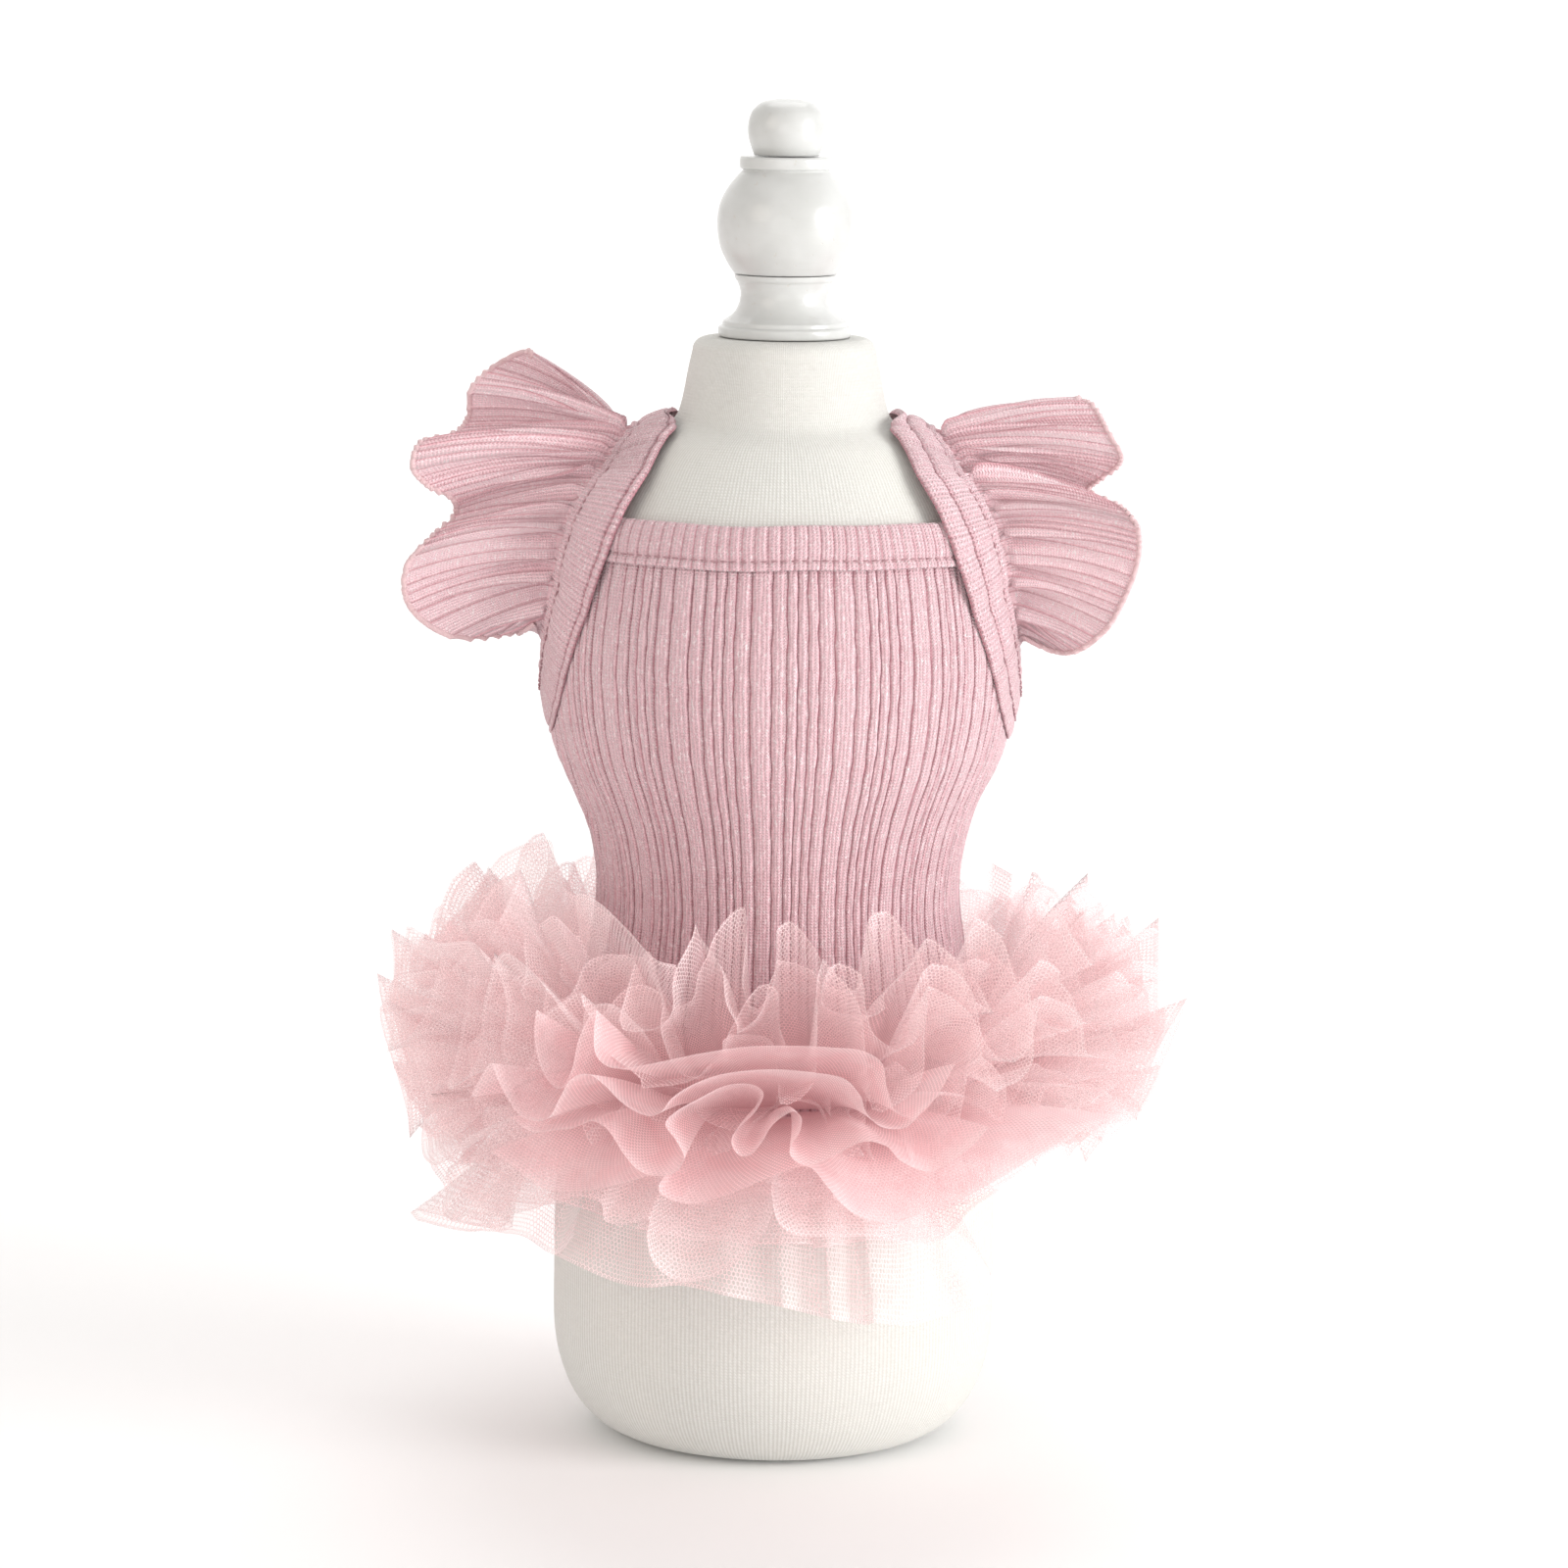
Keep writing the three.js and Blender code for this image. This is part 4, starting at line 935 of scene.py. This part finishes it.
SHEET_ROWS = np.array([0, 0.06, 0.14, 0.24, 0.35, 0.47, 0.6, 0.73, 0.85, 0.94, 0.985, 1.0])[:, None]
SHEETS = [  # tier, layer, own folds, seed, own lean, share of the tier's waves, sharpness, loop, fan, reach
    (1, "a", 25, 11, 6, 1.1, 0.9, 0.8, -3, 0),
    (1, "b", 19, 12, 12, 0.3, 0.85, 0.8, -12, 0),
    (2, "a", 22, 21, 5, 1.15, 0.85, 0.8, 2, 0.5),
    (2, "b", 19, 22, 16, 0.2, 0.85, 0.9, -8, 1),
    (3, "a", 21, 31, 5, 1.1, 0.8, 0.9, 2, 0),
    (3, "b", 19, 32, 19, 0.2, 0.85, 0.9, -8, 2),
    (4, "a", 21, 41, 5, 1.1, 0.7, 0.9, 2, 0.5),
    (4, "b", 17, 42, 18, 0.2, 0.8, 0.9, -8, 1),
    (5, "a", 19, 51, 5, 1.0, 0.6, 1.0, 2, 0),
    (6, "a", 15, 61, 3, 0.9, 0.5, 1.0, 2, 0),
]


FRONT_TUCK = 0.3  # how far the whole sheets fall back where the single ones lie in front
FIRST_TUCKED = 3  # the first tier that falls back
COLUMNS_PER_FOLD = 24
FOLDED_SHEETS = ("tulle_front_upper", "tulle_front_middle", "tulle_front_loops", "tulle_front_lower")


def front_weight(turn):
    """1 at the front and 0 at the sides and behind."""
    away = np.abs(np.mod(turn + 180, 360) - 180)
    return np.clip((85 - away) / 35, 0, 1)


def make_tulle(tier_number, layer, folds, seed, own_lean, base_share, sharp, loop, fan_shift, reach_shift):
    tier = TIERS[tier_number - 1]
    waves = tier[2]
    s = np.linspace(0, 1, max(folds, waves) * COLUMNS_PER_FOLD, endpoint=False)[None, :]
    share = SHEET_ROWS
    sideways, own, ragged = own_folds(folds, seed, s * folds, sharp, loop)
    grown = 0.12 + 0.88 * share**0.85
    turn, fan, lean, reach = tier_frame(tier, (s + sideways * grown / folds) * waves, share, sharp)
    rng = np.random.default_rng(seed + 500)
    ripple = sum(
        rng.uniform(0.3, 1.0) * np.sin(2 * math.pi * (n * s + rng.uniform(0, 1))) for n in (5, 9, 14, 23)
    )
    tip = base_share * lean / tier[3] + own * own_lean / 12
    fan = fan + base_share * lean + fan_shift * grown + own_lean * own * grown + 1.5 * ripple * share**2
    reach = reach + reach_shift + 3.0 * tip + 0.8 * ripple + 9 * ragged + 0.25 * own_lean * (own**2 - 0.5)
    if tier_number >= FIRST_TUCKED:
        reach = reach * (1 - FRONT_TUCK * front_weight(turn))
    points = from_seam(turn, np.clip(fan, -82, 84), np.broadcast_to(share, fan.shape), reach)
    name = f"tulle_tier_{tier_number}_{layer}"
    return net_sheet(name, points, f"tulle_tier_{tier_number}", closed=True)


def net_sheet(name, points, node, closed):
    ring = np.concatenate([points[-1], points[-1][:1]]) if closed else points[-1]
    u = run_lengths(ring)
    v = SHEET_ROWS[:, 0] * np.linalg.norm(points[-1] - points[0], axis=-1).mean()
    # Marks for denser net: with a painted highlight along the creases and the hem, and with painted shade
    # towards the gathered root.
    marks = {"bunched_and_highlit": bunched_and_highlit(points, SHEET_ROWS), "gathered": np.clip(1 - SHEET_ROWS / 0.7, 0, 1)}
    material = FOLDED_NET if name in FOLDED_SHEETS else NET
    piece = grid_piece(name, points, material, np.stack(np.meshgrid(u, v), -1), closed=closed, marks=marks)
    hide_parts(node)
    return piece, u[-1], v[-1]


# The photo's view: the camera's target and distance in millimetres, and its elevation and roll in degrees.
CAMERA_TARGET, CAMERA_DISTANCE, CAMERA_ELEVATION, CAMERA_ROLL = (1.3, 0, 176.3), 1200, 10, 0.7
PHOTO_MIDDLE = 800  # the photo's centre, in its own pixels, across and down
PHOTO_HALF_VIEW = 208  # half of the width that the photo shows at the target

# Hem lines picked in the photo, from left to right, of the sheets that face it. A key is a sheet's
# name, tier, fan and how far forward its middle stands. A row is x and y in the photo's pixels.
FRONT_HEMS = {
    ("tulle_front_upper", "tulle_tier_3", 14, 104): [
        (547, 1030), (545, 1055), (548, 1076), (556, 1098), (570, 1111), (583, 1092), (590, 1062),
        (600, 1040), (608, 1030), (606, 1052), (608, 1076), (622, 1089), (646, 1089), (680, 1082),
        (714, 1075), (762, 1068), (811, 1067), (850, 1069), (880, 1072), (900, 1085), (905, 1110),
        (915, 1135), (935, 1140), (955, 1120), (975, 1085),
    ],
    ("tulle_front_middle", "tulle_tier_3", 8, 108): [
        (480, 1120), (500, 1085), (507, 1100), (516, 1118), (529, 1137), (547, 1144), (561, 1139),
        (571, 1120), (583, 1101), (600, 1096), (617, 1108), (631, 1122), (646, 1133), (663, 1139),
        (675, 1134), (685, 1121), (706, 1107), (738, 1096), (787, 1091), (835, 1095), (862, 1101),
        (878, 1118), (884, 1135), (900, 1150), (925, 1150), (945, 1130), (965, 1115), (990, 1120),
    ],
    ("tulle_front_loops", "tulle_tier_4", 2, 107): [
        (520, 1140), (544, 1155), (568, 1153), (585, 1151), (602, 1144), (617, 1150), (627, 1162),
        (636, 1177), (650, 1193), (667, 1200), (688, 1197), (698, 1182), (690, 1164), (679, 1147),
        (690, 1134), (712, 1122), (740, 1108), (763, 1106), (776, 1111), (779, 1119), (771, 1134),
        (759, 1146), (748, 1158), (747, 1169), (755, 1179), (766, 1178), (777, 1166), (787, 1150),
        (799, 1139), (811, 1134), (818, 1141), (816, 1155), (808, 1168), (806, 1177), (813, 1186),
        (827, 1189), (850, 1180), (880, 1165), (905, 1170), (920, 1185), (950, 1195), (985, 1175),
        (1010, 1150),
    ],
    ("tulle_front_lower", "tulle_tier_4", -12, 101): [
        (500, 1175), (530, 1195), (555, 1213), (590, 1216), (635, 1208), (665, 1199), (680, 1199),
        (673, 1208), (674, 1218), (690, 1226), (709, 1228), (738, 1221), (774, 1206), (811, 1192),
        (828, 1192), (845, 1212), (868, 1236), (900, 1247), (945, 1238), (990, 1219), (1030, 1196),
        (1070, 1172), (1110, 1149), (1150, 1140),
    ],
    ("tulle_front_sheer", "tulle_tier_5", -30, 97): [
        (470, 1215), (500, 1240), (540, 1235), (580, 1222), (612, 1226), (618, 1246), (640, 1250),
        (662, 1244), (660, 1262), (668, 1290), (695, 1308), (735, 1300), (770, 1270), (788, 1240),
        (787, 1215), (793, 1245), (812, 1260), (850, 1262), (890, 1262), (930, 1270), (965, 1262),
        (990, 1235), (1020, 1215),
    ],
}
# The same for the other single sheets: name, tier and fan, then x, y and how far forward each point is put.
SIDE_HEMS = {
    ("tulle_left_flap", "tulle_tier_1", 48): [
        (625, 935, 40), (600, 918, 36), (578, 908, 30), (567, 880, 16), (562, 858, 8), (548, 859, 2),
        (530, 863, -6), (508, 876, -10), (493, 900, -14), (489, 925, -8), (500, 944, 4), (512, 925, 16),
        (508, 905, 24), (516, 890, 30),
    ],
    ("tulle_left_upper", "tulle_tier_2", 30): [
        (690, 985, 84), (668, 978, 88), (640, 948, 80), (610, 920, 72), (588, 914, 62), (590, 955, 54),
        (566, 935, 64), (548, 942, 56), (530, 918, 62), (513, 897, 56), (517, 940, 44), (498, 938, 52),
        (472, 940, 42), (450, 924, 34), (443, 938, 26), (474, 958, 34),
    ],
    ("tulle_left_tips", "tulle_tier_3", 8): [
        (655, 1050, 96), (625, 1025, 96), (598, 1030, 90), (592, 1052, 82), (562, 1015, 88), (540, 988, 82),
        (515, 972, 78), (500, 985, 64), (484, 962, 66), (450, 962, 50), (421, 957, 40), (424, 970, 32),
        (468, 986, 42), (430, 991, 34), (403, 998, 24), (397, 1015, 16), (401, 1031, 22), (436, 1026, 34),
    ],
    ("tulle_left_fall", "tulle_tier_4", -12): [
        (404, 1030, 10), (424, 1042, 22), (428, 1060, 34), (438, 1080, 24), (447, 1102, 38),
        (438, 1120, 26), (433, 1140, 38), (430, 1162, 26), (433, 1182, 38), (450, 1188, 52),
        (478, 1160, 56), (505, 1150, 72), (530, 1142, 78), (552, 1148, 84), (575, 1130, 90),
    ],
    ("tulle_left_lower", "tulle_tier_5", -32): [
        (425, 1120, -10), (436, 1160, 6), (440, 1190, 20), (454, 1212, 14), (452, 1236, 30),
        (463, 1246, 20), (480, 1240, 40), (505, 1256, 34), (535, 1262, 52), (565, 1280, 46),
        (585, 1262, 64),
    ],
    ("tulle_right_upper", "tulle_tier_1", 45): [
        (975, 880, 6), (998, 868, 2), (1012, 880, -6), (1034, 893, 0), (1046, 903, -10), (1030, 940, 6),
        (1056, 912, 10), (1066, 906, 2), (1072, 915, -4), (1062, 942, 12), (1084, 922, 10), (1094, 928, 0),
        (1080, 955, 14),
    ],
    ("tulle_right_tips", "tulle_tier_2", 22): [
        (1075, 950, 16), (1100, 938, 22), (1120, 917, 14), (1131, 922, 8), (1100, 955, 18), (1135, 958, 24),
        (1172, 947, 16), (1180, 953, 8), (1140, 978, 20), (1160, 980, 24), (1184, 990, 16),
        (1189, 1000, 10), (1146, 1004, 22),
    ],
    ("tulle_right_side", "tulle_tier_3", 2): [
        (1105, 985, 26), (1140, 1002, 30), (1160, 1006, 18), (1171, 1022, 8), (1170, 1042, 14),
        (1146, 1052, 28), (1164, 1054, 18), (1164, 1074, 8), (1156, 1088, 16), (1116, 1100, 34),
        (1080, 1108, 46),
    ],
    ("tulle_right_low", "tulle_tier_4", -18): [
        (1170, 1060, -6), (1150, 1096, 6), (1120, 1102, 26), (1138, 1113, 30), (1160, 1124, 20),
        (1164, 1137, 12), (1150, 1144, 22), (1117, 1147, 40), (1080, 1170, 48), (1047, 1193, 58),
        (1012, 1214, 64), (980, 1228, 74), (950, 1238, 76), (915, 1250, 86), (880, 1244, 88),
        (850, 1222, 92),
    ],
    ("tulle_bottom_sheer", "tulle_tier_6", -52): [
        (975, 1238, 58), (990, 1262, 54), (1012, 1303, 54), (1008, 1325, 58), (998, 1333, 64),
        (965, 1342, 66), (930, 1352, 76), (892, 1350, 84), (884, 1352, 76), (848, 1346, 86),
        (838, 1344, 76), (800, 1334, 84), (780, 1330, 78), (740, 1322, 82), (695, 1312, 74),
        (660, 1314, 74), (625, 1307, 62), (590, 1292, 58), (565, 1280, 44),
    ],
}
HEM_BEND = 1.08  # half width over middle of the curve that the front sheets follow
FIRST_SHARE = 0.9  # the share of the middle's place at which a point's way across is read
LEAST_FORWARD = 0.05  # the smallest square of a point's share of the middle's place


def from_photo(x, y, forward):
    """The point seen at a place in the photo that stands so far forward of the form's axis."""
    elevation, roll = np.radians((CAMERA_ELEVATION, CAMERA_ROLL))
    across, down = x - PHOTO_MIDDLE, y - PHOTO_MIDDLE
    level = across * np.cos(roll) + down * np.sin(roll), down * np.cos(roll) - across * np.sin(roll)
    right, lower = np.array(level) * PHOTO_HALF_VIEW / PHOTO_MIDDLE / CAMERA_DISTANCE
    ahead = np.array([0, np.cos(elevation), -np.sin(elevation)])
    sight = ahead + right * np.array([1, 0, 0]) - lower * np.array([0, np.sin(elevation), np.cos(elevation)])
    camera = np.array(CAMERA_TARGET) - CAMERA_DISTANCE * ahead
    return camera + sight * (-forward - camera[1]) / sight[1]


def front_point(x, y, middle):
    """A point of a front sheet, which curves back from its middle towards the sides."""
    across = from_photo(x, y, FIRST_SHARE * middle)[0] / (HEM_BEND * middle)
    return from_photo(x, y, middle * np.sqrt(max(1 - across**2, LEAST_FORWARD)))


def open_curve(points, samples):
    """A smooth curve through points, with samples between each two."""
    points = np.asarray(points, float)
    length = np.concatenate([[0], np.cumsum(np.sqrt(np.linalg.norm(np.diff(points, axis=0), axis=1)))])
    place = np.linspace(0, len(points) - 1, (len(points) - 1) * samples + 1)
    at = np.interp(place, np.arange(len(points)), length)
    return np.stack([smooth(length, points[:, c], at) for c in range(3)], -1)


def softened(line, width):
    """The line averaged over a width in points, which undoes its loops."""
    kernel = np.exp(-0.5 * (np.arange(-3 * width, 3 * width + 1) / width) ** 2)
    kernel /= kernel.sum()
    ends = np.concatenate([np.repeat(line[:1], 3 * width, 0), line, np.repeat(line[-1:], 3 * width, 0)])
    return np.stack([np.convolve(ends[:, c], kernel, "valid") for c in range(3)], -1)


HEM_DIGITS, HEM_SAMPLES, HEM_SOFTENING = 1, 12, 40


def make_placed(name, node, fan, hem_points):
    """A sheet from the waist seam to a hem line with its loops, gathered towards the seam."""
    hem = open_curve(np.round(hem_points, HEM_DIGITS), HEM_SAMPLES)
    middle = softened(hem, HEM_SOFTENING)
    turn = np.degrees(np.arctan2(middle[:, 0], -middle[:, 1]))
    none = np.zeros(turn.shape)
    root = from_seam(turn, none + fan, none, none)
    share = SHEET_ROWS[:, :, None]
    points = lerp(root[None], middle[None], share) + (hem - middle)[None] * share**1.15
    rounding = np.sin(math.pi * share) * (0, -1.0, 2.0)
    return net_sheet(name, points + rounding, node, closed=False)


# How dense the net is drawn along the creases and at the hem; the same marks paint a lighter highlight
# colour there.
CREASE_DENSITY_AND_HIGHLIGHT, HEM_DENSITY_AND_HIGHLIGHT = 0.45, 0.65


def bunched_and_highlit(points, share):
    """Where the net lies denser, and where it gets a painted highlight: at its cut edge and along the
    creases.
    """
    before, after = points - np.roll(points, 1, 1), np.roll(points, -1, 1) - points
    length = (np.linalg.norm(before, axis=-1) + np.linalg.norm(after, axis=-1)) / 2
    cosine = (unit(before) * unit(after)).sum(-1).clip(-1, 1)
    bend = np.arccos(cosine) / np.maximum(length, 0.05)
    crease = np.clip((bend - 0.2) / 0.8, 0, 1) * CREASE_DENSITY_AND_HIGHLIGHT
    return np.maximum(crease, np.where(share > 0.975, HEM_DENSITY_AND_HIGHLIGHT, 0.0))


# ---- Camera, light and floor ----
def look_along(elevation, roll):
    tipped = Matrix.Rotation(math.radians(90 - elevation), 4, "X")
    return tipped @ Matrix.Rotation(math.radians(roll), 4, "Z")


def make_camera():
    data = bpy.data.cameras.new("camera")
    data.lens, data.sensor_width, data.sensor_fit = 103.85, 36, "HORIZONTAL"
    data.clip_start, data.clip_end = 0.05, 20
    camera = bpy.data.objects.new("camera", data)
    elevation = math.radians(CAMERA_ELEVATION)
    back = np.array([0, -math.cos(elevation), math.sin(elevation)])
    place = (np.array(CAMERA_TARGET) + CAMERA_DISTANCE * back) * MM
    camera.matrix_world = Matrix.Translation(place.tolist()) @ look_along(CAMERA_ELEVATION, CAMERA_ROLL)
    bpy.context.collection.objects.link(camera)
    bpy.context.scene.camera = camera


LIGHTS = [  # name, place, target, size, power, colour
    ("key", (1.9, -0.8, 0.55), (0, 0, 0.15), 1.1, 35, (1.0, 0.995, 0.99)),
    ("fill", (-1.3, -1.3, 0.9), (0, 0, 0.17), 1.2, 6, (1.0, 0.88, 0.78)),
    ("front", (-0.3, -2.2, 0.25), (0, 0, 0.17), 1.4, 6, (1.0, 0.98, 0.96)),
    ("backdrop", (0, 1.2, 2.2), (0, 1.2, 0), 2.0, 19, (1.0, 1.0, 1.0)),
]


def make_light(name, place, target, size, power, colour):
    data = bpy.data.lights.new(name, "AREA")
    data.shape, data.size, data.energy, data.color = "DISK", size, power, colour
    light = bpy.data.objects.new(name, data)
    light.location = place
    light.rotation_mode = "QUATERNION"
    light.rotation_quaternion = (Vector(target) - Vector(place)).to_track_quat("-Z", "Y")
    bpy.context.collection.objects.link(light)


def make_stage():
    """A pale floor that curves up into a backdrop."""
    angle = np.linspace(0, math.pi / 2, 14)[1:]
    reach, back, bend = 4000.0, 1500.0, 500.0
    y = np.concatenate([[-reach], [back], back + bend * np.sin(angle), [back + bend]])
    z = np.concatenate([[0], [0], bend - bend * np.cos(angle), [reach]])
    points = np.stack([np.stack([np.full_like(y, x), y, z], -1) for x in (-reach, reach)], 1)
    stage = grid_piece("floor", points, stage_material("pale_floor", 0.94), measured_uv(points))


def make_world():
    world = bpy.data.worlds.new("studio")
    world.use_nodes = True
    background = world.node_tree.nodes["Background"]
    background.inputs["Color"].default_value = (1.0, 0.99, 0.975, 1)
    background.inputs["Strength"].default_value = 0.635
    bpy.context.scene.world = world


make_camera()
make_world()
make_stage()
for light_row in LIGHTS:
    make_light(*light_row)
bpy.context.scene.cycles.transparent_max_bounces = 20
bpy.context.scene.view_settings.view_transform = "Standard"

HALVES = (("front", 0), ("back", 180))

make_form()
for finial_name, finial_profile in FINIALS.items():
    make_turned(finial_name, finial_profile)
bodices = [make_bodice("bodice_" + part, middle) for part, middle in HALVES]
bindings = [make_binding("neck_binding_" + part, middle) for part, middle in HALVES]
for part, middle in HALVES:
    binding_stitches("neck_binding_" + part + "_stitches", middle)
bands = [make_band(side) for side in SIDES]
band_stitches("left", 0.318, "_outer_stitches")
band_stitches("right", 0.300, "_outer_stitches")
band_stitches("right", -0.150, "_middle_stitches", off=0.85)
flounces = [make_flounce(side) for side in SIDES]
tiers = [make_tulle(*row) for row in SHEETS]
placed = [
    make_placed(*key, [front_point(x, y, middle) for x, y in line])
    for (*key, middle), line in FRONT_HEMS.items()
]
placed += [make_placed(*key, [from_photo(*point) for point in line]) for key, line in SIDE_HEMS.items()]
